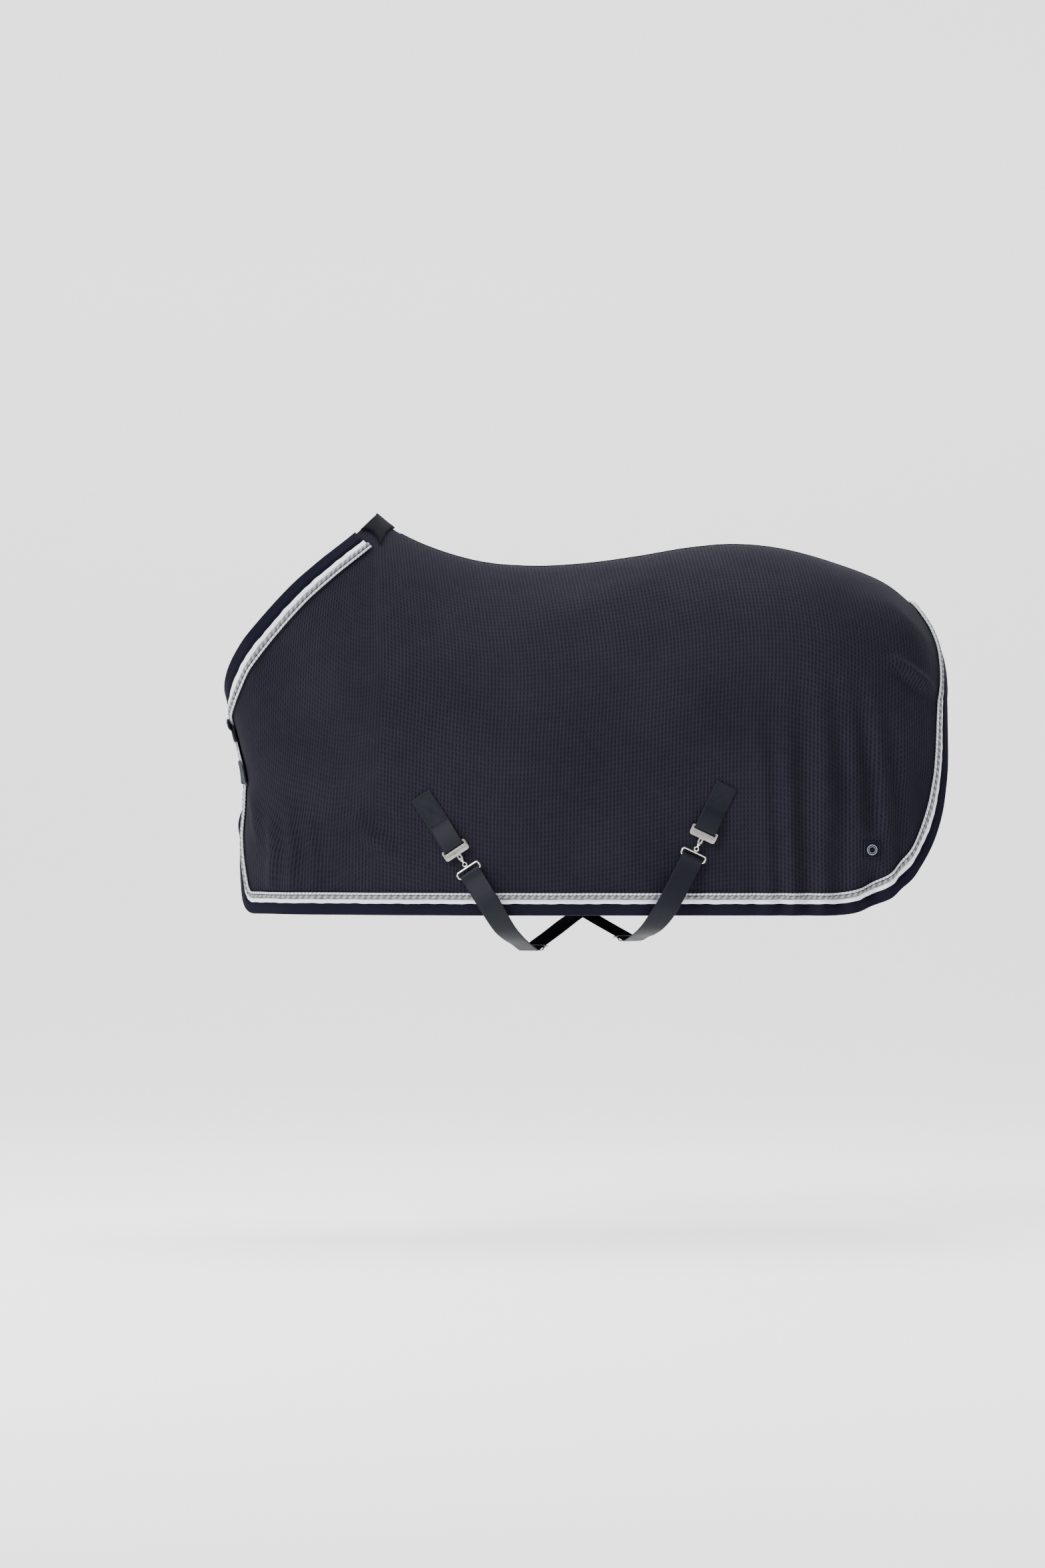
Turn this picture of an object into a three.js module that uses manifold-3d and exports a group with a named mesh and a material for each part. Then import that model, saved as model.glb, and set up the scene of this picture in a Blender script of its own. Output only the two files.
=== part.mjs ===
// A waffle-fleece horse rug (cooler) as it hangs on a horse: two panels, edge trims, chest straps and two
// crossed belly straps with their clips.
// Frame, in millimetres: +Z up, +X from the chest towards the tail, -Y the near (left) side.
// The origin is the underside of the rug on the spine at the withers.
import * as THREE from "three";
import { mergeVertices } from "three/addons/utils/BufferGeometryUtils.js";
import Module from "manifold-3d";

const wasm = await Module();
wasm.setup();

// ---- driving dimensions ----
const REAR_X = 1281; // rear end of the rug
const CHEST_X = -356; // chest end of the neck edge
const CHEST_Z = -412;
const HEM_Z = -878; // lowest edge of the panels
const TAIL_Z = -198; // spine at the tail head
const BARREL_HALF = 312; // half the rug's width at its widest
const FLEECE = 5; // thickness of the panels
const SEAM_GAP = 0.6; // between the two panels on the spine
const TRIM_GAP = 2.4; // between the panel's face and what is sewn on it
const BINDING = 21; // width of the edge binding
const BINDING_THICK = 1.2;
const TAPE = 10; // width of the white outer tape
const TAPE_THICK = 2.2;
const TWIST_CORD = 7.6; // diameter of the twisted grey cord
const INNER_CORD = 5.6; // diameter of the white inner cord
const CORD_GAP = 0.5; // between neighbouring trims
const FRONT_CORNER = 55; // corner radii of a panel
const REAR_CORNER = 285;
const WEBBING = 50; // width of the straps
const WEB_THICK = 2.4;
const FRONT_TAB = 138; // sewn surcingle tabs, from the top to the clip's bar
const REAR_TAB = 112;
const BAR = 3.2; // thickness of the clip plate and of its bar
const BAR_LIFT = 8; // the bar's height above the tab's sewn face
const PLATE_HEIGHT = 16;
const PLATE_DROP = 7; // slot between the bar and the plate
const ARM = 4.6; // width of the plate's side arms
const PRONG = 3.6; // the two prongs under the plate, and the slot between them
const PRONG_LENGTH = 8;
const SWIVEL = 9.6; // diameter of the swivel hook's barrel
const SWIVEL_LENGTH = 7;
const EYE = 12; // outer diameter of the hook's eye
const EYE_WIRE = 3;
const BAIL_WIRE = 4.2;
const BAIL_HEIGHT = 19;
const PLAY = 0.6; // clearance between moving pieces
const WEB_SIDE = 1.4; // beside the webbing, between its edge and the metal
const SLIDE_LENGTH = 34; // slide adjuster
const SLIDE_RUN = 120; // straight stretch of belly strap that the adjuster slides on
const SLIDE_WIRE = 3.4;
const PLATE_WIDTH = WEBBING + 2 * (ARM + WEB_SIDE);
const BAIL_WIDTH = WEBBING + 2 * (BAIL_WIRE + WEB_SIDE);
const SLIDE_SIDE = 1.6; // the same clearance in the adjuster
const SLIDE_WIDTH = WEBBING + 2 * (SLIDE_WIRE + SLIDE_SIDE);
const CHEST_STRAP = 54; // height of a chest strap
const CHEST_PITCH = 96; // between the two chest straps
const BADGE = 38;

const material = (color, roughness = 0.9, metalness = 0) =>
  new THREE.MeshStandardMaterial({ color, roughness, metalness });
const FABRIC = material(0x2c2a38);
const BORDER = material(0x1c1b2c);
const WHITE = material(0xdfe3ea);
const GREY = material(0x8c8c90);
const WEB = material(0x252c3e);
const SLATE = material(0x34373f);
const RED = material(0xb3202c);
const METAL = material(0xb8b6ac, 0.35, 0.9);

const rug = new THREE.Group();

// ---- small helpers ----
const V = (x, y, z) => new THREE.Vector3(x, y, z);
const lerp = THREE.MathUtils.lerp;
const clamp = THREE.MathUtils.clamp;
const spline = (points) => {
  const curve = new THREE.CatmullRomCurve3(points.map(([x, z]) => V(x, 0, z)), false, "centripetal");
  return (t) => curve.getPoint(clamp(t, 0, 1));
};
// Value at x on a smooth curve through (x, value) points, level beyond its ends.
const profile = (points) => {
  const slope = points.map((_, i) => {
    const [[x0, a], [x1, b]] = [points[Math.max(0, i - 1)], points[Math.min(points.length - 1, i + 1)]];
    return (b - a) / (x1 - x0);
  });
  return (x) => {
    const last = points.length - 1;
    const i = clamp(points.filter(([px]) => px < x).length, 1, last);
    const [[x0, a], [x1, b]] = [points[i - 1], points[i]];
    const [t, h] = [clamp((x - x0) / (x1 - x0), 0, 1), x1 - x0];
    const [t2, t3] = [t * t, t * t * t];
    return (
      (2 * t3 - 3 * t2 + 1) * a + (t3 - 2 * t2 + t) * h * slope[i - 1] +
      (3 * t2 - 2 * t3) * b + (t3 - t2) * h * slope[i]
    );
  };
};

// Closed solid from a grid of rings: rings[i][j], each ring a closed loop, the ends capped by a fan.
function loft(name, rings, look, closed = false) {
  const n = rings[0].length;
  const position = [];
  rings.flat().forEach((p) => position.push(p.x, p.y, p.z));
  const index = [];
  const last = closed ? rings.length : rings.length - 1;
  for (let i = 0; i < last; i++)
    for (let j = 0; j < n; j++) {
      const [a, b] = [i * n + j, i * n + ((j + 1) % n)];
      const [c, d] = [((i + 1) % rings.length) * n + j, ((i + 1) % rings.length) * n + ((j + 1) % n)];
      index.push(a, c, b, b, c, d);
    }
  if (!closed)
    [0, rings.length - 1].forEach((i) => {
      const caps = THREE.ShapeUtils.triangulateShape(flat(rings[i]), []);
      caps.forEach(([a, b, c]) => {
        const face = [i * n + a, i * n + b, i * n + c];
        index.push(...(i === 0 ? face : face.reverse()));
      });
    });
  return solid(name, position, index, look);
}
// A ring's points in its own plane, so that its cap can be cut into triangles.
function flat(ring) {
  const normal = V(0, 0, 0);
  ring.forEach((p, i) => normal.add(p.clone().cross(ring[(i + 1) % ring.length])));
  normal.normalize();
  const side = ring[1].clone().sub(ring[0]).normalize();
  const up = normal.clone().cross(side);
  return ring.map((p) => new THREE.Vector2(p.dot(side), p.dot(up)));
}
// Adds a mesh, with its faces turned out whichever way its rings ran.
function solid(name, position, index, look) {
  const at = (i) => V(position[3 * i], position[3 * i + 1], position[3 * i + 2]);
  let volume = 0;
  for (let i = 0; i < index.length; i += 3)
    volume += at(index[i]).dot(at(index[i + 1]).cross(at(index[i + 2])));
  if (volume < 0) index.reverse();
  const geometry = new THREE.BufferGeometry();
  geometry.setAttribute("position", new THREE.Float32BufferAttribute(position, 3));
  geometry.setIndex(index);
  geometry.computeVertexNormals();
  const mesh = new THREE.Mesh(geometry, look);
  mesh.name = name;
  rug.add(mesh);
  return mesh;
}

// A closed mesh as a solid that can be joined and cut.
function toManifold(geometry) {
  const bare = geometry.clone();
  bare.deleteAttribute("normal");
  const merged = mergeVertices(bare, 1e-4);
  return new wasm.Manifold(
    new wasm.Mesh({
      numProp: 3,
      vertProperties: merged.getAttribute("position").array,
      triVerts: new Uint32Array(merged.index.array),
    }),
  );
}

// ---- the horse-shaped surface of a panel ----
// Neck edge from the chest to the withers, and the spine from the withers to the tail head, as (x, z).
const neckEdge = spline([
  [CHEST_X, CHEST_Z], [-364, -375], [-354, -326], [-318, -262], [-220, -148], [-154, -87], [-67, -13], [-25, 33],
]);
const BACK = REAR_X / 1281; // the back's points move with the rug's length
const spineLine = spline([
  [-25, 33], [16, 1], [98, -39], [218 * BACK, -74], [338 * BACK, -84], [458 * BACK, -78], [578 * BACK, -62],
  [698 * BACK, -42], [802 * BACK, -34], [908 * BACK, -44], [1028 * BACK, -76], [1148 * BACK, -124],
  [1208 * BACK, -171], [REAR_X - 47, TAIL_Z],
]);
const frontEdge = spline([[CHEST_X, CHEST_Z], [-333, -518], [-322, -592], [-333, -712], [-336, -770], [-330, HEM_Z]]);
const rearEdge = spline([
  [REAR_X - 47, TAIL_Z], [REAR_X - 22, -240], [REAR_X - 4, -300], [REAR_X, -458], [REAR_X, -597], [REAR_X - 4, HEM_Z],
]);
const NECK_REACH = 315.941; // length of the neck part of a panel, in the side view
const NECK_SHARE = NECK_REACH / (REAR_X - CHEST_X);
const topEdge = (a) =>
  a < NECK_SHARE ? neckEdge(a / NECK_SHARE) : spineLine((a - NECK_SHARE) / (1 - NECK_SHARE));
const hemEdge = (a) => frontEdge(1).lerp(rearEdge(1), a);
// Runs slowly near 0 and evenly after it, so that rows are close together where the surface turns.
const EVEN = 0.22; // share of even steps
const ease = (t, soft) => EVEN * t + ((1 - EVEN) * (Math.hypot(t, soft) - soft)) / (Math.hypot(1, soft) - soft);

const GIRTH = BARREL_HALF / 312; // narrower places keep to the rug's width
// The widest half-width over x, the depth at which it is reached, and how full the back is.
const halfWidth = profile([
  [-380, BARREL_HALF - 112 * GIRTH], [-150, BARREL_HALF - 92 * GIRTH], [60, BARREL_HALF - 32 * GIRTH], [330 * BACK, BARREL_HALF],
  [760 * BACK, BARREL_HALF - 8], [980 * BACK, BARREL_HALF - 6], [REAR_X, BARREL_HALF - 52 * GIRTH],
]);
const widestDepth = profile([[-200, 430], [100, 470], [420 * BACK, 400], [700 * BACK, 370], [1000 * BACK, 300], [REAR_X, 330]]);
const roundness = profile([[-200, 1.55], [120, 1.6], [420 * BACK, 1.9], [700 * BACK, 2], [REAR_X, 2.1]]);
// How far the front and rear edges stand from the middle.
const frontOpening = profile([[HEM_Z, 74 * GIRTH], [-740, 40 * GIRTH], [-600, 12 * GIRTH], [-440, 8 * GIRTH]]);
const rearOpening = profile([[HEM_Z, 190 * GIRTH], [-600, 178 * GIRTH], [-400, 140 * GIRTH], [TAIL_Z, 0]]);
const FRONT_TURN = 235; // length over which the rug turns round the chest
const REAR_TURN = 285; // and round the buttocks
const bow = (q, n) => Math.pow(Math.max(0, 1 - Math.pow(1 - clamp(q, 0, 1), n)), 1 / n);
const back = (y, width, turn) => turn * (1 - Math.sqrt(1 - Math.min(0.98, y / width) ** 2));

const CREST_SLOPE = 0.8; // the neck rises forward of the withers
const WITHERS = neckEdge(1);

// Half-width of the rug in column a, at height z of the side view.
function halfAt(a, x, z) {
  const w = halfWidth(x);
  const crest = a < NECK_SHARE ? WITHERS.z + CREST_SLOPE * Math.max(0, WITHERS.x - x) : topEdge(a).z;
  const front = a * (REAR_X - CHEST_X) + back(frontOpening(z), w, FRONT_TURN);
  const rear = (1 - a) * (REAR_X - CHEST_X) + back(rearOpening(z), w, REAR_TURN);
  return (
    w * bow((crest - z) / widestDepth(x), roundness(x)) * bow(front / FRONT_TURN, 2) * bow(rear / REAR_TURN, 2)
  );
}
// Point of the rug's outer surface on one side: u from the front edge to the rear edge, v from top to hem.
function skin(u, v, side) {
  const a = 1 - ease(1 - ease(u, 0.12), 0.1);
  const b = ease(v, 0.3);
  const [top, hem, left, right] = [topEdge(a), hemEdge(a), frontEdge(b), rearEdge(b)];
  const [chest, tail, toe, heel] = [frontEdge(0), rearEdge(0), frontEdge(1), rearEdge(1)];
  const mix = (k) =>
    (1 - b) * top[k] + b * hem[k] + (1 - a) * left[k] + a * right[k] -
    (1 - b) * ((1 - a) * chest[k] + a * tail[k]) - b * ((1 - a) * toe[k] + a * heel[k]);
  const [x, z] = [mix("x"), mix("z")];
  return V(x, side * Math.max(SEAM_GAP / 2, halfAt(a, x, z)), z);
}
const STEP = 0.002;
// Outward normal and the two tangents of that surface.
function frameAt(u, v, side) {
  const [u0, u1, v0, v1] = [Math.max(0, u - STEP), Math.min(1, u + STEP), Math.max(0, v - STEP), Math.min(1, v + STEP)];
  const du = skin(u1, v, side).sub(skin(u0, v, side)).divideScalar(u1 - u0);
  const dv = skin(u, v1, side).sub(skin(u, v0, side)).divideScalar(v1 - v0);
  const normal = du.clone().cross(dv).normalize().multiplyScalar(side);
  return { du, dv, normal };
}
// Point at a height above (or below) the outer surface.
const lifted = (u, v, side, height) => {
  const p = skin(u, v, side).addScaledVector(frameAt(u, v, side).normal, height);
  return V(p.x, side * Math.max(SEAM_GAP / 2, side * p.y), p.z);
};
// Parameters of the surface point nearest to a side-view point.
function locate(x, z, side) {
  let [u, v] = [clamp((x - CHEST_X) / (REAR_X - CHEST_X), 0.02, 0.98), clamp(z / HEM_Z, 0.05, 0.95)];
  for (let k = 0; k < 12; k++) {
    const p = skin(u, v, side);
    const { du, dv } = frameAt(u, v, side);
    const det = du.x * dv.z - du.z * dv.x;
    const [ex, ez] = [x - p.x, z - p.z];
    u = clamp(u + (ex * dv.z - ez * dv.x) / det, 0, 1);
    v = clamp(v + (du.x * ez - du.z * ex) / det, 0, 1);
  }
  return [u, v];
}

// A panel's outline in (u, v): the hem's ends are rounded, and everything else follows the edges.
const span = (u0, v0, u1, v1) => skin(u0, v0, -1).distanceTo(skin(u1, v1, -1));
const FRONT_U = (0.1 * FRONT_CORNER) / span(0, 0.9, 0.1, 0.9);
const FRONT_V = (0.1 * FRONT_CORNER) / span(0.05, 0.85, 0.05, 0.95);
const REAR_U = (0.2 * REAR_CORNER) / span(0.8, 0.9, 1, 0.9);
const REAR_V = (0.3 * REAR_CORNER) / span(0.97, 0.6, 0.97, 0.9);
const dip = (t) => 1 - Math.sqrt(1 - clamp(t, 0, 1) ** 2);
const CHEST_V = 0.16; // the chest corner's rounding, down the front edge
const topV = (u) => CHEST_V * dip(1 - u / FRONT_U);
const hemV = (u) => 1 - FRONT_V * dip(1 - u / FRONT_U) - REAR_V * dip(1 - (1 - u) / REAR_U);

// The column that ends at the withers.
const WITHERS_U = (() => {
  let [low, high] = [0, 1];
  for (let k = 0; k < 40; k++) {
    const mid = (low + high) / 2;
    if (1 - ease(1 - ease(mid, 0.12), 0.1) < NECK_SHARE) low = mid;
    else high = mid;
  }
  return low;
})();

// Columns of a panel: closer together in the rounded corners and round the chest.
const columns = [];
const CORNER = 4;
for (let i = 0; i <= CORNER; i++) columns.push(FRONT_U * (1 - Math.cos((i / CORNER) * Math.PI / 2)));
const SHOULDER = 15;
for (let i = 1; i <= SHOULDER; i++) columns.push(lerp(FRONT_U, WITHERS_U, i / SHOULDER));
const BARREL = Math.round(REAR_X / 98.5);
for (let i = 1; i <= BARREL; i++) columns.push(lerp(WITHERS_U, 1 - REAR_U, i / BARREL));
const ROUND = 10;
for (let i = 1; i <= ROUND; i++) columns.push(1 - REAR_U * (1 - Math.sin((i / ROUND) * Math.PI / 2)));
const ROWS = 13;
const TURN_IN = 4; // the raw edge of a panel lies this far inside the fold of its binding

// A closed sheet between two heights over a surface: point(i, j, height) for a grid of rows and columns.
function quilt(name, ni, nj, point, low, high, look) {
  const grid = (height) =>
    Array.from({ length: (ni + 1) * (nj + 1) }, (_, k) => point(Math.floor(k / (nj + 1)), k % (nj + 1), height));
  const position = [...grid(high), ...grid(low)].flatMap((p) => [p.x, p.y, p.z]);
  const [n, count] = [nj + 1, (ni + 1) * (nj + 1)];
  const index = [];
  const quad = (q, r, t, w) => index.push(q, r, t, q, t, w);
  for (let i = 0; i < ni; i++)
    for (let j = 0; j < nj; j++) {
      const k = i * n + j;
      quad(k, k + 1, k + n + 1, k + n);
      quad(count + k, count + k + n, count + k + n + 1, count + k + 1);
    }
  const rim = [];
  for (let i = 0; i <= ni; i++) rim.push(i * n);
  for (let j = 1; j <= nj; j++) rim.push(ni * n + j);
  for (let i = ni - 1; i >= 0; i--) rim.push(i * n + nj);
  for (let j = nj - 1; j > 0; j--) rim.push(j);
  rim.forEach((q, i) => {
    const r = rim[(i + 1) % rim.length];
    quad(r, count + r, count + q, q);
  });
  return solid(name, position, index, look);
}
function panel(name, side) {
  const point = (i, j, height) => {
    const u = columns[i];
    return lifted(u, lerp(topV(u), hemV(u), j / ROWS), side, height);
  };
  return quilt(name, columns.length - 1, ROWS, point, -FLEECE, 0, FABRIC);
}
panel("near_panel", -1);
panel("off_panel", 1);

// ---- trims sewn round a panel: neck edge, front edge, hem and rear edge ----
// Outline of a panel in (u, v), from the withers down the neck, round and up to the tail head.
const SPINE_STOP = 0.03; // the trims stop this far short of the spine
const PATCH_U = locate(-67, -13, -1)[0]; // where the withers patch ends on the neck edge
const outline = columns.filter((u) => u < PATCH_U).reverse().map((u) => [u, topV(u)]);
const EDGE_STEPS = 12;
for (let i = 1; i < EDGE_STEPS; i++) outline.push([0, lerp(CHEST_V, hemV(0), i / EDGE_STEPS)]);
columns.forEach((u) => outline.push([u, hemV(u)]));
for (let i = EDGE_STEPS - 1; i >= 0; i--) outline.push([1, lerp(SPINE_STOP, hemV(1), i / EDGE_STEPS)]);

// Walks over the surface from an outline point, square to the outline, for a distance.
function inset(i, side, distance) {
  const [u0, v0] = outline[i];
  const [ua, va] = outline[Math.max(0, i - 1)];
  const [ub, vb] = outline[Math.min(outline.length - 1, i + 1)];
  let [u, v] = [u0, v0];
  const steps = Math.max(1, Math.ceil(distance / 5));
  for (let k = 0; k < steps; k++) {
    const { du, dv } = frameAt(clamp(u, 0.004, 0.996), clamp(v, 0.004, 0.996), side);
    const along = du.clone().multiplyScalar(ub - ua).addScaledVector(dv, vb - va);
    const normal = du.clone().cross(dv).normalize();
    const inward = along.cross(normal).normalize();
    const [uu, uv, vv] = [du.dot(du), du.dot(dv), dv.dot(dv)];
    const [pu, pv] = [inward.dot(du), inward.dot(dv)];
    const det = uu * vv - uv * uv;
    u += ((pu * vv - pv * uv) / det) * (distance / steps);
    v += ((pv * uu - pu * uv) / det) * (distance / steps);
  }
  return [clamp(u, 0, 1), clamp(v, 0, 1)];
}
// A strip between two distances from the edge, and between two heights above the panel.
function trim(name, side, from, to, low, high, look) {
  const rings = outline.map((_, i) => {
    const [a, b] = [inset(i, side, from), inset(i, side, to)];
    return [lifted(...a, side, low), lifted(...b, side, low), lifted(...b, side, high), lifted(...a, side, high)];
  });
  return loft(name, rings, look);
}
// A round cord on the panel, its middle at a distance from the edge.
const CORD_SIDES = 5;
function cord(name, side, distance, diameter, look) {
  const rings = outline.map((_, i) => {
    const at = inset(i, side, distance);
    const { normal } = frameAt(...at, side);
    const middle = lifted(...at, side, TRIM_GAP + diameter / 2);
    const edge = lifted(...inset(i, side, distance + diameter / 2), side, TRIM_GAP + diameter / 2);
    const across = edge.sub(middle).normalize();
    return Array.from({ length: CORD_SIDES }, (_, k) => {
      const turn = ((k + 0.5) / CORD_SIDES) * 2 * Math.PI;
      const p = middle.clone().addScaledVector(across, (Math.cos(turn) * diameter) / 2);
      p.addScaledVector(normal, (Math.sin(turn) * diameter) / 2);
      return V(p.x, side * Math.max(SEAM_GAP / 2, side * p.y), p.z);
    });
  });
  return loft(name, rings, look);
}
// The binding folds over the raw edge: an outer leaf, the fold and an inner leaf.
function binding(name, side) {
  const rings = outline.map((_, i) => {
    const [inner, edge] = [inset(i, side, BINDING), outline[i]];
    const { normal } = frameAt(clamp(edge[0], 0.004, 0.996), clamp(edge[1], 0.004, 0.996), side);
    const outward = skin(...edge, side).sub(skin(...inset(i, side, 6), side)).normalize();
    const [top, bottom] = [TRIM_GAP, -FLEECE - TRIM_GAP];
    const fold = (height, reach) => {
      const p = skin(...edge, side).addScaledVector(normal, height).addScaledVector(outward, reach);
      return V(p.x, side * Math.max(SEAM_GAP / 2, side * p.y), p.z);
    };
    return [
      lifted(...inner, side, top), fold(top, TURN_IN), fold(bottom, TURN_IN), lifted(...inner, side, bottom),
      lifted(...inner, side, bottom - BINDING_THICK), fold(bottom - BINDING_THICK, TURN_IN + BINDING_THICK),
      fold(top + BINDING_THICK, TURN_IN + BINDING_THICK), lifted(...inner, side, top + BINDING_THICK),
    ];
  });
  return loft(name, rings, BORDER);
}
const TAPE_FROM = BINDING + CORD_GAP;
const TWIST_FROM = TAPE_FROM + TAPE + CORD_GAP;
const INNER_FROM = TWIST_FROM + TWIST_CORD + CORD_GAP;
[["near", -1], ["off", 1]].forEach(([word, side]) => {
  binding(`${word}_binding`, side);
  trim(`${word}_outer_tape`, side, TAPE_FROM, TAPE_FROM + TAPE, TRIM_GAP, TRIM_GAP + TAPE_THICK, WHITE);
  cord(`${word}_twist_cord`, side, TWIST_FROM + TWIST_CORD / 2, TWIST_CORD, GREY);
  cord(`${word}_inner_cord`, side, INNER_FROM + INNER_CORD / 2, INNER_CORD, WHITE);
});

// ---- pieces laid along a local frame ----
// A frame holds an origin and three unit directions: along a strap, across it, and out of its face.
const place = ({ origin, along, across, out }, a, c, o) =>
  origin.clone().addScaledVector(along, a).addScaledVector(across, c).addScaledVector(out, o);
// An outline in the along/out plane, carried across the strap.
function slab(name, frame, points, from, to, look) {
  const rings = [from, to].map((c) => points.map(([a, o]) => place(frame, a, c, o)));
  return loft(name, rings, look);
}
// An outline in the along/across plane, with holes, carried out of the face.
function plate(name, frame, outlinePoints, holes, low, high, look) {
  const shape = new THREE.Shape(outlinePoints.map(([a, c]) => new THREE.Vector2(a, c)));
  holes.forEach((h) => shape.holes.push(new THREE.Path(h.map(([a, c]) => new THREE.Vector2(a, c)))));
  const geometry = new THREE.ExtrudeGeometry(shape, { depth: high - low, bevelEnabled: false });
  const p = geometry.getAttribute("position");
  const position = [];
  for (let i = 0; i < p.count; i++) {
    const q = place(frame, p.getX(i), p.getY(i), low + p.getZ(i));
    position.push(q.x, q.y, q.z);
  }
  return solid(name, position, Array.from({ length: p.count }, (_, i) => i), look);
}
// A rectangle with rounded corners, as (along, across) points.
function rounded(a0, a1, c0, c1, radius, steps = 3) {
  const corners = [[a1, c1, 0], [a0, c1, 1], [a0, c0, 2], [a1, c0, 3]];
  return corners.flatMap(([a, c, quarter]) => {
    const [ca, cc] = [a + (a === a0 ? radius : -radius), c + (c === c0 ? radius : -radius)];
    return Array.from({ length: steps + 1 }, (_, k) => {
      const turn = ((quarter + k / steps) * Math.PI) / 2;
      return [ca + radius * Math.cos(turn), cc + radius * Math.sin(turn)];
    });
  });
}
// Both faces of a webbing whose middle runs through (along, out) points.
function webOutline(path, thick = WEB_THICK) {
  const normal = path.map((_, i) => {
    const [a, b] = [path[Math.max(0, i - 1)], path[Math.min(path.length - 1, i + 1)]];
    const length = Math.hypot(b[0] - a[0], b[1] - a[1]);
    return [-(b[1] - a[1]) / length, (b[0] - a[0]) / length];
  });
  const shift = (k) => path.map(([a, o], i) => [a + normal[i][0] * k, o + normal[i][1] * k]);
  return [...shift(thick / 2), ...shift(-thick / 2).reverse()];
}
// A ribbon through points in space, with its width direction at each.
function ribbon(name, points, widths, look) {
  const rings = points.map((p, i) => {
    const run = points[Math.min(points.length - 1, i + 1)].clone().sub(points[Math.max(0, i - 1)]).normalize();
    const across = widths[i].clone().addScaledVector(run, -widths[i].dot(run)).normalize();
    const out = run.clone().cross(across);
    const corner = (c, o) => p.clone().addScaledVector(across, (c * WEBBING) / 2).addScaledVector(out, (o * WEB_THICK) / 2);
    return [corner(-1, -1), corner(1, -1), corner(1, 1), corner(-1, 1)];
  });
  return loft(name, rings, look);
}
// Points of a smooth curve through some points, and the same for the width directions.
function smooth(points, count) {
  const curve = new THREE.CatmullRomCurve3(points, false, "centripetal");
  return Array.from({ length: count + 1 }, (_, i) => curve.getPoint(i / count));
}
// The frame of a strap sewn on a panel, from the side-view place of its top to that of its end.
function sewnFrame([x0, z0], [x1, z1], side, height) {
  const at = (x, z) => {
    const [u, v] = locate(x, z, side);
    return { point: lifted(u, v, side, height), normal: frameAt(u, v, side).normal };
  };
  const [top, end] = [at(x0, z0), at(x1, z1)];
  const along = end.point.clone().sub(top.point).normalize();
  const out = top.normal.clone().add(end.normal);
  out.addScaledVector(along, -out.dot(along)).normalize();
  return { origin: top.point, along, across: out.clone().cross(along), out, end: end.point };
}

// ---- surcingles: sewn tab, clip, strap with its bail, slide adjuster and the strap under the belly ----
const LOOP = BAR * Math.SQRT1_2 + PLAY + WEB_THICK / 2; // radius of a webbing loop's middle round its bar
const HEM_LOOP = 32; // length of webbing turned back and stitched
const half = WEBBING / 2;
function clip(word, tabLength, frame) {
  const bar = { ...frame, origin: place(frame, tabLength, 0, BAR_LIFT) };
  // The tab runs down from its sewn top, round the bar and back under itself.
  const turn = [0, 1, 2, 3, 4].map((k) => {
    const angle = Math.PI / 2 - (k / 4) * Math.PI;
    return [LOOP * Math.cos(angle), LOOP * Math.sin(angle)];
  });
  const rise = WEB_THICK / 2 - BAR_LIFT;
  const path = [[-tabLength, rise], [-HEM_LOOP - 22, rise], [-HEM_LOOP - 4, 0], [-14, LOOP], ...turn, [-HEM_LOOP + 2, -LOOP]];
  slab(`${word}_tab`, bar, webOutline(path), -half, half, WEB);
  // The clip: a bar in the loop, two arms, the plate and its two prongs joined at their ends.
  const [w, lip] = [PLATE_WIDTH / 2, PLATE_DROP + PLATE_HEIGHT];
  const foot = lip + PRONG_LENGTH;
  const neck = PRONG * 1.5;
  const outer = [
    ...rounded(-BAR / 2, lip, -w, w, 3.5).filter(([a]) => a < lip / 2),
  ];
  const body = [
    ...outer, [lip, -w + 4], [lip, -neck], [foot + PRONG, -neck], [foot + PRONG, neck], [lip, neck], [lip, w - 4],
  ];
  body.splice(outer.length, 0, [lip - 4, -w]);
  body.push([lip - 4, w]);
  const slot = [[BAR / 2, -w + ARM], [PLATE_DROP, -w + ARM], [PLATE_DROP, w - ARM], [BAR / 2, w - ARM]];
  const gap = [[lip + 1, -PRONG / 2], [foot, -PRONG / 2], [foot, PRONG / 2], [lip + 1, PRONG / 2]];
  plate(`${word}_clip_plate`, bar, body, [slot, gap], -BAR / 2, BAR / 2, METAL);
  // The swivel hook: a barrel under the prongs and an eye below it, one turned and bent piece.
  const start = foot + PRONG + PLAY;
  swivelHook(`${word}_swivel_hook`, bar, start);
  // The bail: a flat ring of wire; the hook's eye ends just above its upper bar.
  const bailTop = start + SWIVEL_LENGTH + EYE + PLAY;
  const [b, t] = [BAIL_WIDTH / 2, BAIL_WIRE];
  plate(
    `${word}_bail`, bar, rounded(bailTop, bailTop + BAIL_HEIGHT, -b, b, 6),
    [rounded(bailTop + t, bailTop + BAIL_HEIGHT - t, -b + t, b - t, 2.5)], -t / 2, t / 2, METAL,
  );
  return { bar, lowerBar: bailTop + BAIL_HEIGHT - t / 2 };
}
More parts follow.
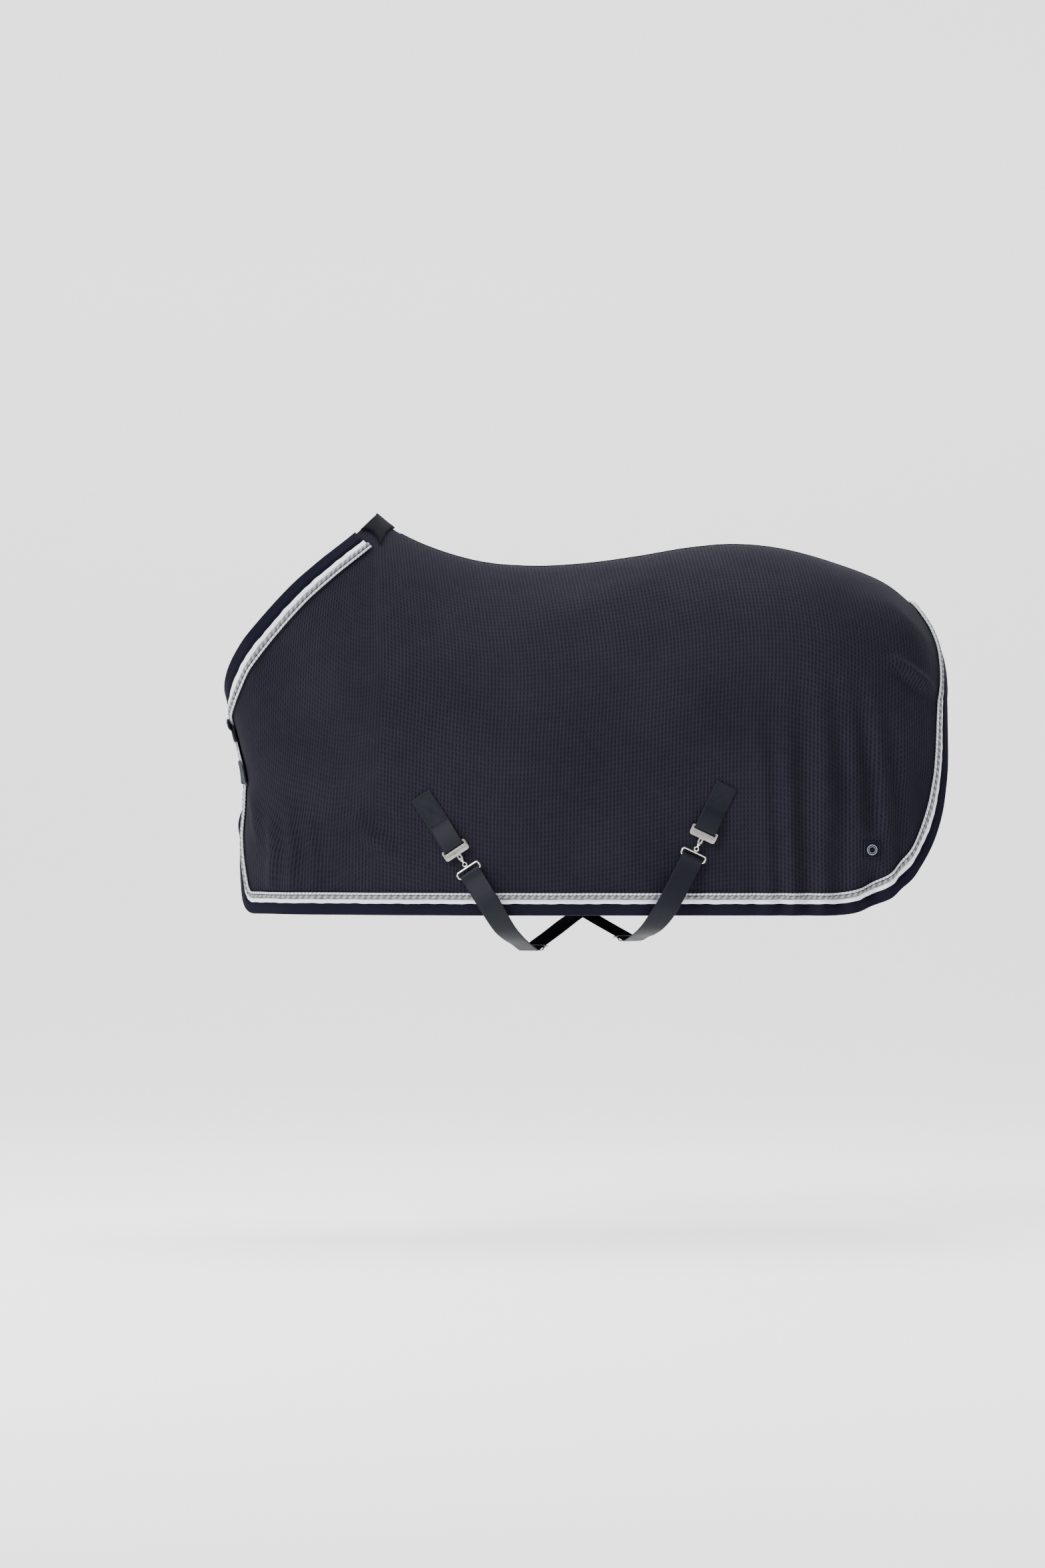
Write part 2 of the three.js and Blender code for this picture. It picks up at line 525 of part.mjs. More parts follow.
// Barrel and eye as one closed surface: rings along the strap, then a ring of wire joined below.
function swivelHook(name, bar, start) {
  const r = SWIVEL / 2;
  const disc = (a, radius, squash = 1) =>
    Array.from({ length: 12 }, (_, k) => {
      const turn = (k / 12) * 2 * Math.PI;
      return place(bar, a, radius * Math.cos(turn), radius * squash * Math.sin(turn));
    });
  const [e, wire] = [EYE / 2, EYE_WIRE];
  const end = start + SWIVEL_LENGTH;
  const rings = [
    disc(start, r * 0.7), disc(start + 1, r), disc(start + 3, r), disc(start + 4, r * 0.6), disc(end - 1, r * 0.55),
    disc(end + 0.2 * e, e * 0.8, wire / (1.6 * e)), disc(end + e, e, wire / (2 * e)),
    disc(end + 1.7 * e, e * 0.7, wire / (1.4 * e)), disc(end + 2 * e, e * 0.25, wire / (0.5 * e) / 2),
  ];
  return loft(name, rings, METAL);
}

const SIDE_LOW = -BARREL_HALF + 97; // the near strap's lowest point, in from the side
const FAR_SIDE = BARREL_HALF - 142;
const SIDE = {
  front: {
    tab: FRONT_TAB, top: [84, -612], slope: [Math.sin(0.576), -Math.cos(0.576)],
    low: V(330, SIDE_LOW, HEM_Z - 84), bend: [V(240, -BARREL_HALF - 26, HEM_Z + 20), V(277, -BARREL_HALF + 6, HEM_Z - 39)],
    cross: HEM_Z - 10,
    far: [V(545, FAR_SIDE + 5, HEM_Z + 33), [690, -715], [718, -655]],
  },
  rear: {
    tab: REAR_TAB, top: [774, -588], slope: [-Math.sin(0.445), -Math.cos(0.445)],
    low: V(562, SIDE_LOW, HEM_Z - 62), bend: [V(638, -BARREL_HALF - 30, HEM_Z + 16), V(603, -BARREL_HALF + 6, HEM_Z - 33)],
    cross: HEM_Z + 3,
    far: [V(340, FAR_SIDE, HEM_Z + 42), [190, -712], [160, -652]],
  },
};
const CROSS_X = 440; // the straps cross under the middle of the belly
const END_GAP = 5; // between the released strap's end and the belly strap
const ANCHOR_GAP = 1.2;
const ANCHOR_THICK = 1.5;
const ANCHOR_DEPTH = FLEECE + ANCHOR_GAP + ANCHOR_THICK;
const ANCHOR_LENGTH = 62;
function surcingle(word) {
  const { tab, top, slope, low, bend, cross, far } = SIDE[word];
  const frame = sewnFrame(top, [top[0] + slope[0] * tab, top[1] + slope[1] * tab], -1, TRIM_GAP);
  const { bar, lowerBar } = clip(word, tab, frame);
  // The strap's upper end loops round the bail's lower bar; its free leaf is stitched inside.
  const loopCentre = place(bar, lowerBar, 0, 0);
  const radius = BAIL_WIRE * Math.SQRT1_2 + PLAY + WEB_THICK / 2;
  const turn = [4, 3, 2, 1, 0].map((k) => {
    const angle = Math.PI / 2 + (k / 4) * Math.PI;
    return place(bar, lowerBar + radius * Math.cos(angle), 0, radius * Math.sin(angle));
  });
  const hook = [place(bar, lowerBar + HEM_LOOP - 8, 0, -radius + 1), ...turn];
  const middle = V(CROSS_X, 0, cross);
  const run = middle.clone().sub(low).normalize();
  const level = V(run.y, -run.x, 0).normalize();
  const flatWay = bar.across.clone().multiplyScalar(Math.sign(bar.across.dot(level)));
  const down = smooth([place(bar, lowerBar + 14, 0, radius), ...bend, low.clone().addScaledVector(run, -END_GAP)], 9);
  const share = (i) => clamp((i - 3) / 5, 0, 1);
  ribbon(
    `${word}_strap`, [...hook, ...down],
    [...hook.map(() => flatWay), ...down.map((_, i) => flatWay.clone().lerp(level, share(i)).normalize())], WEB,
  );
  // The belly strap runs on from there to its anchor inside the off panel.
  const sewn = sewnFrame(far[2], far[1], 1, -ANCHOR_DEPTH);
  const strapDepth = -ANCHOR_GAP - WEB_THICK / 2;
  const ends = [ANCHOR_LENGTH, 0].map((a) => place(sewn, a, 0, strapDepth - 0.6));
  const lead = place(sewn, ANCHOR_LENGTH + 36, 0, strapDepth - 9);
  const straight = low.clone().addScaledVector(run, SLIDE_RUN);
  const belly = smooth([low.clone(), straight, middle, far[0], lead, ...ends], 18);
  const upright = sewn.across.clone().multiplyScalar(Math.sign(sewn.across.dot(level)));
  ribbon(`${word}_belly_strap`, belly, belly.map((_, i) => level.clone().lerp(upright, clamp((i - 9) / 4, 0, 1))), WEB);
  const margin = 7;
  plate(
    `${word}_strap_anchor`, sewn, rounded(-margin, ANCHOR_LENGTH - margin, -half - margin, half + margin, 6), [],
    0, ANCHOR_THICK, BORDER,
  );
  // The slide adjuster: side rails beside the webbing, end bars over it and a middle bar under it.
  const slide = { origin: low.clone().addScaledVector(run, 4 + SLIDE_LENGTH / 2), along: run, across: level };
  slide.out = run.clone().cross(level);
  slideAdjuster(`${word}_slide`, slide);
  return { bar, low, level, run, lowerBar };
}
// One ring of flat bar with its ends above the strap and a staple-shaped middle bar below it.
function slideAdjuster(name, frame) {
  const [l, w, t] = [SLIDE_LENGTH / 2, SLIDE_WIDTH / 2, SLIDE_WIRE];
  const clear = WEB_THICK / 2 + PLAY;
  const block = (a0, a1, c0, c1, o0, o1) => {
    const corner = (a, c, o) => place(frame, a, c, o);
    const rings = [a0, a1].map((a) => [corner(a, c0, o0), corner(a, c1, o0), corner(a, c1, o1), corner(a, c0, o1)]);
    const mesh = loft("", rings, METAL);
    rug.remove(mesh);
    return toManifold(mesh.geometry);
  };
  let all = block(-l, l, -w, -w + t, -clear - t, clear + t).add(block(-l, l, w - t, w, -clear - t, clear + t));
  all = all.add(block(-l, -l + t, -w, w, clear, clear + t)).add(block(l - t, l, -w, w, clear, clear + t));
  all = all.add(block(-t / 2, t / 2, -w, w, -clear - t, -clear));
  const made = all.getMesh();
  return solid(name, Array.from(made.vertProperties), Array.from(made.triVerts), METAL);
}
const surcingles = { front: surcingle("front"), rear: surcingle("rear") };


// ---- pieces that lie on the panels ----
// A sheet on one panel between four side-view corners.
function sewnPatch(name, side, corners, low, high, look, ni = 2, nj = 2) {
  const uv = corners.map(([x, z]) => locate(x, z, side));
  const point = (i, j, height) => {
    const [s, t] = [i / ni, j / nj];
    const mix = (k) => (1 - t) * ((1 - s) * uv[0][k] + s * uv[1][k]) + t * ((1 - s) * uv[3][k] + s * uv[2][k]);
    return lifted(mix(0), mix(1), side, height);
  };
  return quilt(name, ni, nj, point, low, high, look);
}
// A rectangle in the side view, turned by an angle, as four corners.
const turnedBox = (x, z, width, height, angle = 0) =>
  [[-1, 1], [1, 1], [1, -1], [-1, -1]].map(([i, j]) => {
    const [a, b] = [(i * width) / 2, (j * height) / 2];
    return [x + a * Math.cos(angle) - b * Math.sin(angle), z + a * Math.sin(angle) + b * Math.cos(angle)];
  });

// The centre seam's binding tape, under the panels from the withers to the tail head.
const SEAM_TAPE = 24;
const SEAM_STEPS = 2 * BARREL;
const overSpine = (u, across, height) => {
  if (across === 0) {
    const p = lifted(u, 0.001, -1, height);
    return V(p.x, 0, p.z);
  }
  const side = Math.sign(across);
  let [v, gone] = [0, 0];
  while (gone < Math.abs(across) && v < 0.4) {
    gone += skin(u, v, side).distanceTo(skin(u, v + 0.002, side));
    v += 0.002;
  }
  return lifted(u, v, side, height);
};
quilt(
  "spine_seam_tape", SEAM_STEPS, 2,
  (i, j, height) => overSpine(lerp(WITHERS_U + 0.03, 0.935, i / SEAM_STEPS), ((j - 1) * SEAM_TAPE) / 2, height),
  -FLEECE - 4.4, -FLEECE - 3.4, BORDER,
);

// The withers patch folds over the neck edge; a second pad lines it inside.
const PATCH_FRONT = [WITHERS_U, 0];
const PATCH_TOP_REAR = [locate(16, 1, -1)[0], 0];
const PATCH_LOW_REAR = locate(-14, -40, -1);
const PATCH_LOW_FRONT = [PATCH_U + 0.004, 0];
function withersPiece(name, low, high, look) {
  const n = 4;
  const point = (i, j, height) => {
    const [s, t] = [i / n, Math.abs(j - n) / n];
    const mix = (k) =>
      (1 - t) * ((1 - s) * PATCH_FRONT[k] + s * PATCH_TOP_REAR[k]) + t * ((1 - s) * PATCH_LOW_FRONT[k] + s * PATCH_LOW_REAR[k]);
    if (j === n) {
      const p = lifted(mix(0), 0.001, -1, height);
      return V(p.x, 0, p.z);
    }
    return lifted(mix(0), mix(1), j < n ? -1 : 1, height);
  };
  return quilt(name, n, 2 * n, point, low, high, look);
}
withersPiece("withers_patch", TRIM_GAP, TRIM_GAP + 3, BORDER);
withersPiece("withers_pad", -FLEECE - TRIM_GAP - 6, -FLEECE - TRIM_GAP - 3, BORDER);

// ---- chest closure: two straps sewn on the off side, fastened on the near side by hook and loop ----
const CHEST_TOP = -464; // height of the upper strap's middle
const CHEST_END = 100; // from the middle of the chest to a strap's ends
const LOOP_FROM = 60; // the loop strip, from the middle of the chest
const LOOP_TO = 92;
const PAD = 1.1; // thickness of the hook pads and the loop strip
const LAYER = 0.5; // between the layers of the closure
const OVER_TRIMS = TRIM_GAP + TWIST_CORD + 1.6; // height at which a strap crosses the edge trims
const TRIMS_END = INNER_FROM + INNER_CORD + 8 + 4;
const ON_PADS = TRIM_GAP + 2 * (PAD + LAYER);
// Point of the chest at a height z and a signed distance from the middle, lifted off the panels.
function chestPoint(z, across, lift) {
  const side = across < 0 ? -1 : 1;
  let [low, high] = [0, 1];
  for (let k = 0; k < 20; k++) {
    const mid = (low + high) / 2;
    if (skin(0.02, mid, side).z > z) low = mid;
    else high = mid;
  }
  const edge = skin(0, low, side);
  const opening = Math.abs(edge.y);
  const front = lifted(0, low, side, lift);
  if (Math.abs(across) <= opening) return V(front.x, across, z);
  let [u, gone] = [0, opening];
  while (gone < Math.abs(across) && u < 0.3) {
    gone += skin(u, low, side).distanceTo(skin(u + 0.0005, low, side));
    u += 0.0005;
  }
  const p = lifted(u, low, side, lift);
  return V(p.x, p.y, z);
}
// Height of a chest strap over the panel: down on the pads at its ends, over the trims elsewhere.
const NECK_TRIMS_Z = CHEST_Z - TRIMS_END + 12;
const strapLift = (across, z) => {
  const t = clamp((Math.abs(across) - TRIMS_END) / 10, 0, 1) * clamp((NECK_TRIMS_Z - z) / 10, 0, 1);
  return lerp(OVER_TRIMS, ON_PADS, t * t * (3 - 2 * t));
};
function chestSheet(name, z, height, from, to, steps, lift, thick, look) {
  const rows = 4;
  const point = (i, j, h) => {
    const across = lerp(from, to, i / steps);
    const level = z + (0.5 - j / rows) * height;
    return chestPoint(level, across, lift(across, level) + h);
  };
  return quilt(name, steps, rows, point, 0, thick, look);
}
const PAD_HEIGHT = 26;
["upper", "lower"].forEach((word, k) => {
  const z = CHEST_TOP - k * CHEST_PITCH;
  const hinge = CHEST_END - 8;
  chestSheet(`${word}_chest_strap`, z, CHEST_STRAP, -CHEST_END, hinge, 24, strapLift, WEB_THICK, SLATE);
  chestSheet(`${word}_chest_anchor`, z - 4, CHEST_STRAP - 14, hinge + 3, hinge + 46, 6, () => TRIM_GAP, WEB_THICK, SLATE);
  const padZ = z - CHEST_STRAP / 2 + PAD_HEIGHT / 2 + 1;
  chestSheet(
    `${word}_hook_pad`, padZ, PAD_HEIGHT - 4, -LOOP_TO, -TRIMS_END - 11, 4, () => TRIM_GAP + PAD + LAYER, PAD, BORDER,
  );
});
quilt(
  "chest_loop_strip", 10, 3,
  (i, j, h) => {
    const z = lerp(NECK_TRIMS_Z - 3, CHEST_TOP - CHEST_PITCH - CHEST_STRAP / 2 - 4, i / 10);
    return chestPoint(z, lerp(-LOOP_TO - 2, -LOOP_FROM, j / 3), TRIM_GAP + h);
  },
  0, PAD, SLATE,
);
const LABEL_RISE = 0.2 * (TWIST_CORD - 2); // where the strap dips behind the cords the label bridges it
chestSheet("woven_label", CHEST_TOP, CHEST_STRAP - 12, -CHEST_END + 3, -CHEST_END + 28, 3,
  (a, z) => strapLift(a, z) + WEB_THICK + LAYER + LABEL_RISE, 0.8, WEB);
chestSheet("red_tag", CHEST_TOP - CHEST_STRAP / 2 - 8, 15, -CHEST_END + 4, -CHEST_END + 16, 2,
  (a, z) => strapLift(a, z) + LAYER, 1, RED);

// ---- badge on the quarter, and the patches behind the sewn tabs ----
const BADGE_X = 1101;
const BADGE_Z = -735;
sewnPatch("quarter_badge", -1, turnedBox(BADGE_X, BADGE_Z, BADGE, BADGE + 2), TRIM_GAP, TRIM_GAP + 1.2, BORDER);
const ringHeight = TRIM_GAP + 1.2 + LAYER;
const badgeFrame = sewnFrame([BADGE_X, BADGE_Z + 12], [BADGE_X, BADGE_Z - 12], -1, ringHeight);
const circle = (r) => Array.from({ length: 20 }, (_, k) => {
  const turn = (k / 20) * 2 * Math.PI;
  return [12 + r * Math.cos(turn), r * Math.sin(turn)];
});
plate("badge_ring", badgeFrame, circle(12), [circle(9.6).reverse()], 0.4, 1.2, WHITE);
Object.entries(SIDE).forEach(([word, { top, slope }]) => {
  const [x, z] = [top[0] + slope[0] * 34, top[1] + slope[1] * 34];
  sewnPatch(
    `${word}_tab_backing`, -1, turnedBox(x, z, 66, 84, Math.atan2(slope[0], -slope[1])),
    -FLEECE - TRIM_GAP - 1, -FLEECE - TRIM_GAP, BORDER,
  );
});

export default rug;
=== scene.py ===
import bmesh
import bpy
import numpy as np
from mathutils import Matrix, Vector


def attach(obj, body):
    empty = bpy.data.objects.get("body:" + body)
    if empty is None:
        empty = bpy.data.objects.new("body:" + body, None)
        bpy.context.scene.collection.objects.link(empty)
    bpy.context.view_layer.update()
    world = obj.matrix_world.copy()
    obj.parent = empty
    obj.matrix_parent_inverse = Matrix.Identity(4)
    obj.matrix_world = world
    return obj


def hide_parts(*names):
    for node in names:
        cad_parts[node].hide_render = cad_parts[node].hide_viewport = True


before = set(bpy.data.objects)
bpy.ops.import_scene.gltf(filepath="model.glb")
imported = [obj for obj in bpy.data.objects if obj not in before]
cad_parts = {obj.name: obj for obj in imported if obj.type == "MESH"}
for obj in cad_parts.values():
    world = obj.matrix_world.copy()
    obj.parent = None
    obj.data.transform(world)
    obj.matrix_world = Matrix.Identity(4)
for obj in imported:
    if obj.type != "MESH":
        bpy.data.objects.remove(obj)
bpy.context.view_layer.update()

bl_info = {
    "name": "Waffle fleece horse rug",
    "version": (1, 0, 0),
    "blender": (4, 5, 0),
    "location": "View3D > Sidebar > Horse Rug",
    "description": "Builds a horse rug with bound edges, chest straps and crossed belly straps",
    "category": "Add Mesh",
}

# ---- sizes in millimetres ----
REAR_X, CHEST_X, CHEST_Z = 1281.0, -356.0, -412.0
HEM_Z, TAIL_Z, BARREL_HALF = -878.0, -198.0, 312.0
FLEECE = 5.0
SEAM_GAP = 0.6
NECK_SHARE = 0.193
EVEN = 0.22
FRONT_TURN, REAR_TURN = 235.0, 285.0
CREST_SLOPE = 0.8
STEP = 0.002
FRONT_CORNER, REAR_CORNER = 55.0, 285.0
CHEST_V = 0.16
SPINE_STOP = 0.03
TRIM_GAP = 2.4
BINDING, BINDING_THICK, TURN_IN = 21.0, 1.2, 4.0
TAPE, TAPE_THICK = 10.0, 2.2
TWIST_CORD, INNER_CORD, CORD_GAP = 7.6, 5.6, 0.5
TAPE_FROM = BINDING + CORD_GAP
TWIST_FROM = TAPE_FROM + TAPE + CORD_GAP
INNER_FROM = TWIST_FROM + TWIST_CORD + CORD_GAP
WEBBING, WEB_THICK = 50.0, 2.4
BAR, BAR_LIFT = 3.2, 8.0
PLATE_WIDTH, PLATE_HEIGHT, PLATE_DROP = 62.0, 16.0, 7.0
ARM, PRONG, PRONG_LENGTH = 4.6, 3.6, 8.0
SWIVEL, SWIVEL_LENGTH, EYE, EYE_WIRE = 9.6, 7.0, 12.0, 3.0
BAIL_WIDTH, BAIL_WIRE, BAIL_HEIGHT = 61.2, 4.2, 19.0
PLAY = 0.6
SLIDE_WIDTH, SLIDE_LENGTH, SLIDE_WIRE = 60.0, 34.0, 3.4
CHEST_TOP, CHEST_PITCH, CHEST_STRAP, CHEST_END = -464.0, 96.0, 54.0, 100.0
LOOP_FROM, LOOP_TO, PAD, LAYER = 60.0, 92.0, 1.1, 0.5
OVER_TRIMS = TRIM_GAP + TWIST_CORD + 1.6
TRIMS_END = INNER_FROM + INNER_CORD + 12
ON_PADS = TRIM_GAP + 2 * (PAD + LAYER)
NECK_TRIMS_Z = CHEST_Z - TRIMS_END + 12
LOOP = BAR * np.sqrt(0.5) + PLAY + WEB_THICK / 2
HEM_LOOP = 32.0
ANCHOR_LENGTH = 62.0

NECK_EDGE = [(CHEST_X, CHEST_Z), (-364, -375), (-354, -326), (-318, -262), (-220, -148), (-154, -87), (-67, -13), (-25, 33)]
SPINE = [(-25, 33), (16, 1), (98, -39), (218, -74), (338, -84), (458, -78), (578, -62), (698, -42), (802, -34),
         (908, -44), (1028, -76), (1148, -124), (1208, -171), (REAR_X - 47, TAIL_Z)]
FRONT_EDGE = [(CHEST_X, CHEST_Z), (-333, -518), (-322, -592), (-333, -712), (-336, -770), (-330, HEM_Z)]
REAR_EDGE = [(REAR_X - 47, TAIL_Z), (REAR_X - 22, -240), (REAR_X - 4, -300), (REAR_X, -458), (REAR_X, -597),
             (REAR_X - 4, HEM_Z)]


# ---- curves ----
def catmull(points, t):
    """Centripetal Catmull-Rom curve: knot spacing is the square root of each chord, tangents are the knots' divided
    differences, and a cubic Hermite runs between control points; t in 0..1 counts control points evenly."""
    p = np.asarray(points, float)
    p = np.vstack([2 * p[0] - p[1], p, 2 * p[-1] - p[-2]])
    n = len(p) - 2
    s = np.clip(np.asarray(t, float), 0, 1) * (n - 1)
    i = np.clip(np.floor(s).astype(int), 0, n - 2)
    w = (s - i)[..., None]
    p0, p1, p2, p3 = p[i], p[i + 1], p[i + 2], p[i + 3]
    d0, d1, d2 = (np.maximum(np.linalg.norm(b - a, axis=-1, keepdims=True), 1e-8) ** 0.5
                  for a, b in ((p0, p1), (p1, p2), (p2, p3)))
    m1 = ((p1 - p0) / d0 - (p2 - p0) / (d0 + d1) + (p2 - p1) / d1) * d1
    m2 = ((p2 - p1) / d1 - (p3 - p1) / (d1 + d2) + (p3 - p2) / d2) * d1
    w2, w3 = w * w, w * w * w
    return (2 * w3 - 3 * w2 + 1) * p1 + (w3 - 2 * w2 + w) * m1 + (3 * w2 - 2 * w3) * p2 + (w3 - w2) * m2


def profile(points, x):
    """Cubic Hermite curve of value over x, slopes from the neighbours' chord, level beyond both ends."""
    p = np.asarray(points, float)
    px, py = p[:, 0], p[:, 1]
    a, b = np.maximum(np.arange(len(p)) - 1, 0), np.minimum(np.arange(len(p)) + 1, len(p) - 1)
    slope = (py[b] - py[a]) / (px[b] - px[a])
    x = np.clip(x, px[0], px[-1])
    i = np.clip(np.searchsorted(px, x, side="left"), 1, len(p) - 1)
    h = px[i] - px[i - 1]
    t = (x - px[i - 1]) / h
    t2, t3 = t * t, t * t * t
    return ((2 * t3 - 3 * t2 + 1) * py[i - 1] + (t3 - 2 * t2 + t) * h * slope[i - 1]
            + (3 * t2 - 2 * t3) * py[i] + (t3 - t2) * h * slope[i])


def resample(points, step, extra=None):
    """A catmull curve at even arc length, step apart; extra rows of numbers are carried along with it."""
    p = np.asarray(points, float)
    both = p if extra is None else np.hstack([p, np.asarray(extra, float)])
    fine = np.linspace(0, 1, 60 * len(p))
    q = catmull(p, fine)
    length = np.concatenate([[0], np.cumsum(np.linalg.norm(np.diff(q, axis=0), axis=1))])
    n = max(2, int(round(length[-1] / step)))
    t = np.interp(np.linspace(0, length[-1], n + 1), length, fine)
    out = catmull(p, t)
    if extra is None:
        return out
    s = t * (len(p) - 1)
    carried = np.stack([np.interp(s, np.arange(len(p)), both[:, 3 + k]) for k in range(both.shape[1] - 3)], 1)
    return out, carried


def unit(v):
    return v / np.maximum(np.linalg.norm(v, axis=-1, keepdims=True), 1e-12)


# ---- the horse-shaped surface ----
def ease(t, soft):
    return EVEN * t + (1 - EVEN) * (np.hypot(t, soft) - soft) / (np.hypot(1, soft) - soft)


def bow(q, n):
    return np.maximum(0, 1 - (1 - np.clip(q, 0, 1)) ** n) ** (1 / n)


def back(y, width, turn):
    return turn * (1 - np.sqrt(1 - np.minimum(0.98, y / width) ** 2))


def top_edge(a):
    neck = catmull(NECK_EDGE, np.minimum(a / NECK_SHARE, 1))
    spine = catmull(SPINE, np.clip((a - NECK_SHARE) / (1 - NECK_SHARE), 0, 1))
    return np.where((a < NECK_SHARE)[..., None], neck, spine)


def half_at(a, x, z):
    """Half-width: the barrel's width times a superelliptic back, times elliptic turns round chest and buttocks."""
    w = profile([(-380, BARREL_HALF - 112), (-150, BARREL_HALF - 92), (60, BARREL_HALF - 32), (330, BARREL_HALF),
                 (760, BARREL_HALF - 8), (980, BARREL_HALF - 6), (REAR_X, BARREL_HALF - 52)], x)
    depth = profile([(-200, 430), (100, 470), (420, 400), (700, 370), (1000, 300), (REAR_X, 330)], x)
    power = profile([(-200, 1.55), (120, 1.6), (420, 1.9), (700, 2), (REAR_X, 2.1)], x)
    front_gap = profile([(HEM_Z, 74), (-740, 40), (-600, 12), (-440, 8)], z)
    rear_gap = profile([(HEM_Z, 190), (-600, 178), (-400, 140), (TAIL_Z, 0)], z)
    crest = np.where(a < NECK_SHARE, 33 + CREST_SLOPE * np.maximum(0, -25 - x), top_edge(a)[..., 1])
    front = a * (REAR_X - CHEST_X) + back(front_gap, w, FRONT_TURN)
    rear = (1 - a) * (REAR_X - CHEST_X) + back(rear_gap, w, REAR_TURN)
    return w * bow((crest - z) / depth, power) * bow(front / FRONT_TURN, 2) * bow(rear / REAR_TURN, 2)


def skin(u, v, side):
    """Outer surface: a Coons patch between top, hem, front and rear edges in the side view, pushed out sideways."""
    u, v = np.broadcast_arrays(np.clip(np.asarray(u, float), 0, 1), np.clip(np.asarray(v, float), 0, 1))
    a, b = 1 - ease(1 - ease(u, 0.12), 0.1), ease(v, 0.3)
    front, rear = catmull(FRONT_EDGE, b), catmull(REAR_EDGE, b)
    c0, c1, c2, c3 = (np.array(c, float) for c in (FRONT_EDGE[0], REAR_EDGE[0], FRONT_EDGE[-1], REAR_EDGE[-1]))
    a_, b_ = a[..., None], b[..., None]
    hem = (1 - a_) * c2 + a_ * c3
    p = ((1 - b_) * top_edge(a) + b_ * hem + (1 - a_) * front + a_ * rear
         - (1 - b_) * ((1 - a_) * c0 + a_ * c1) - b_ * ((1 - a_) * c2 + a_ * c3))
    y = np.maximum(SEAM_GAP / 2, half_at(a, p[..., 0], p[..., 1]))
    return np.stack([p[..., 0], side * y, p[..., 1]], -1)


def tangents(u, v, side):
    u, v = np.broadcast_arrays(np.asarray(u, float), np.asarray(v, float))
    u0, u1 = np.maximum(0, u - STEP), np.minimum(1, u + STEP)
    v0, v1 = np.maximum(0, v - STEP), np.minimum(1, v + STEP)
    du = (skin(u1, v, side) - skin(u0, v, side)) / (u1 - u0)[..., None]
    dv = (skin(u, v1, side) - skin(u, v0, side)) / (v1 - v0)[..., None]
    return du, dv, unit(np.cross(du, dv)) * side


def crease(x, z, line, width, height):
    """A soft ridge: a Gaussian of the distance to a polyline in the side view, fading towards its two ends."""
    q = np.asarray(line, float)
    best, share = np.full(x.shape, 1e9), np.zeros(x.shape)
    for k in range(len(q) - 1):
        d = q[k + 1] - q[k]
        t = np.clip(((x - q[k, 0]) * d[0] + (z - q[k, 1]) * d[1]) / (d @ d), 0, 1)
        far = np.hypot(x - q[k, 0] - t * d[0], z - q[k, 1] - t * d[1])
        share = np.where(far < best, (k + t) / (len(q) - 1), share)
        best = np.minimum(best, far)
    return height * np.exp(-((best / width) ** 2)) * np.sin(np.pi * np.clip(share, 0, 1)) ** 0.7


CREASES = [
    ([(337, -217), (480, -170), (637, -112)], 40, 3.2),
    ([(1140, -300), (1190, -338), (1250, -380)], 11, 5.5),
    ([(1146, -325), (1190, -362), (1240, -400)], 10, -3.5),
    ([(1110, -110), (1195, -250), (1240, -400)], 48, 6.0),
    ([(-84, -663), (20, -745), (127, -822)], 20, 6.5),
    ([(-50, -640), (60, -715), (170, -800)], 24, -4.0),
    ([(-262, -640), (-250, -740), (-262, -840)], 13, 5.0),
    ([(-222, -620), (-208, -740), (-214, -850)], 13, 4.6),
    ([(-180, -650), (-160, -750), (-160, -860)], 15, 3.6),
    ([(-316, -592), (-296, -650), (-289, -720)], 12, 4.5),
    ([(-330, -140), (-300, -330), (-290, -420)], 26, 3.0),
    ([(90, -260), (160, -420), (150, -560)], 60, 3.4),
    ([(640, -300), (720, -430), (780, -560)], 55, 2.6),
    ([(250, -820), (420, -780), (600, -826)], 34, -3.0),
]


def folds(x, z, side):
    """How far the cloth stands off its smooth shape, in millimetres: creases plus a row of soft hanging folds."""
    x, z = np.asarray(x, float), np.asarray(z, float)
    shift = 0 if side < 0 else 37.0
    total = np.zeros(np.broadcast(x, z).shape)
    for line, width, height in CREASES:
        total = total + 2.6 * crease(x + shift, z, line, width, height)
    drop = np.clip((-300 - z) / 260, 0, 1) ** 1.3
    behind = np.clip((x - 800) / 120, 0, 1) * np.clip((1250 - x) / 130, 0, 1)
    lean = 26 * np.sin((z + 300) / 330) + 9 * np.sin(x / 51 + z / 170)
    wave = np.sin(2 * np.pi * (x + lean + shift) / 68) + 0.5 * np.sin(2 * np.pi * (x + shift) / 151 + z / 240)
    total = total + 10.5 * drop * behind * wave
    hem = np.clip((-620 - z) / 240, 0, 1)
    total = total + 4.2 * hem * np.sin(2 * np.pi * (x + 0.4 * z + shift) / 196)
    total = total + 3.4 * np.sin(x / 83 + z / 129 + shift) * np.sin(z / 97 - x / 211) * np.clip((40 - z) / 200, 0, 1)
    quiet = 1.0
    for cx, cz, rx, rz in ((120, -690, 120, 130), (750, -640, 110, 120), (1101, -735, 46, 46), (-340, -510, 60, 130)):
        near = np.exp(-(((x - cx) / rx) ** 4) - ((z - cz) / rz) ** 4)
        quiet = quiet * (1 - 0.93 * near)
    below = np.clip((profile(SPINE, x) - z - 6) / 70, 0, 1)
    corner = 1 - 0.8 * np.exp(-(((x - 1262) / 70) ** 4) - ((z + 800) / 150) ** 4)
    return total * quiet * corner * below ** 2 * (3 - 2 * below) * np.clip((x + 372) / 30, 0, 1)


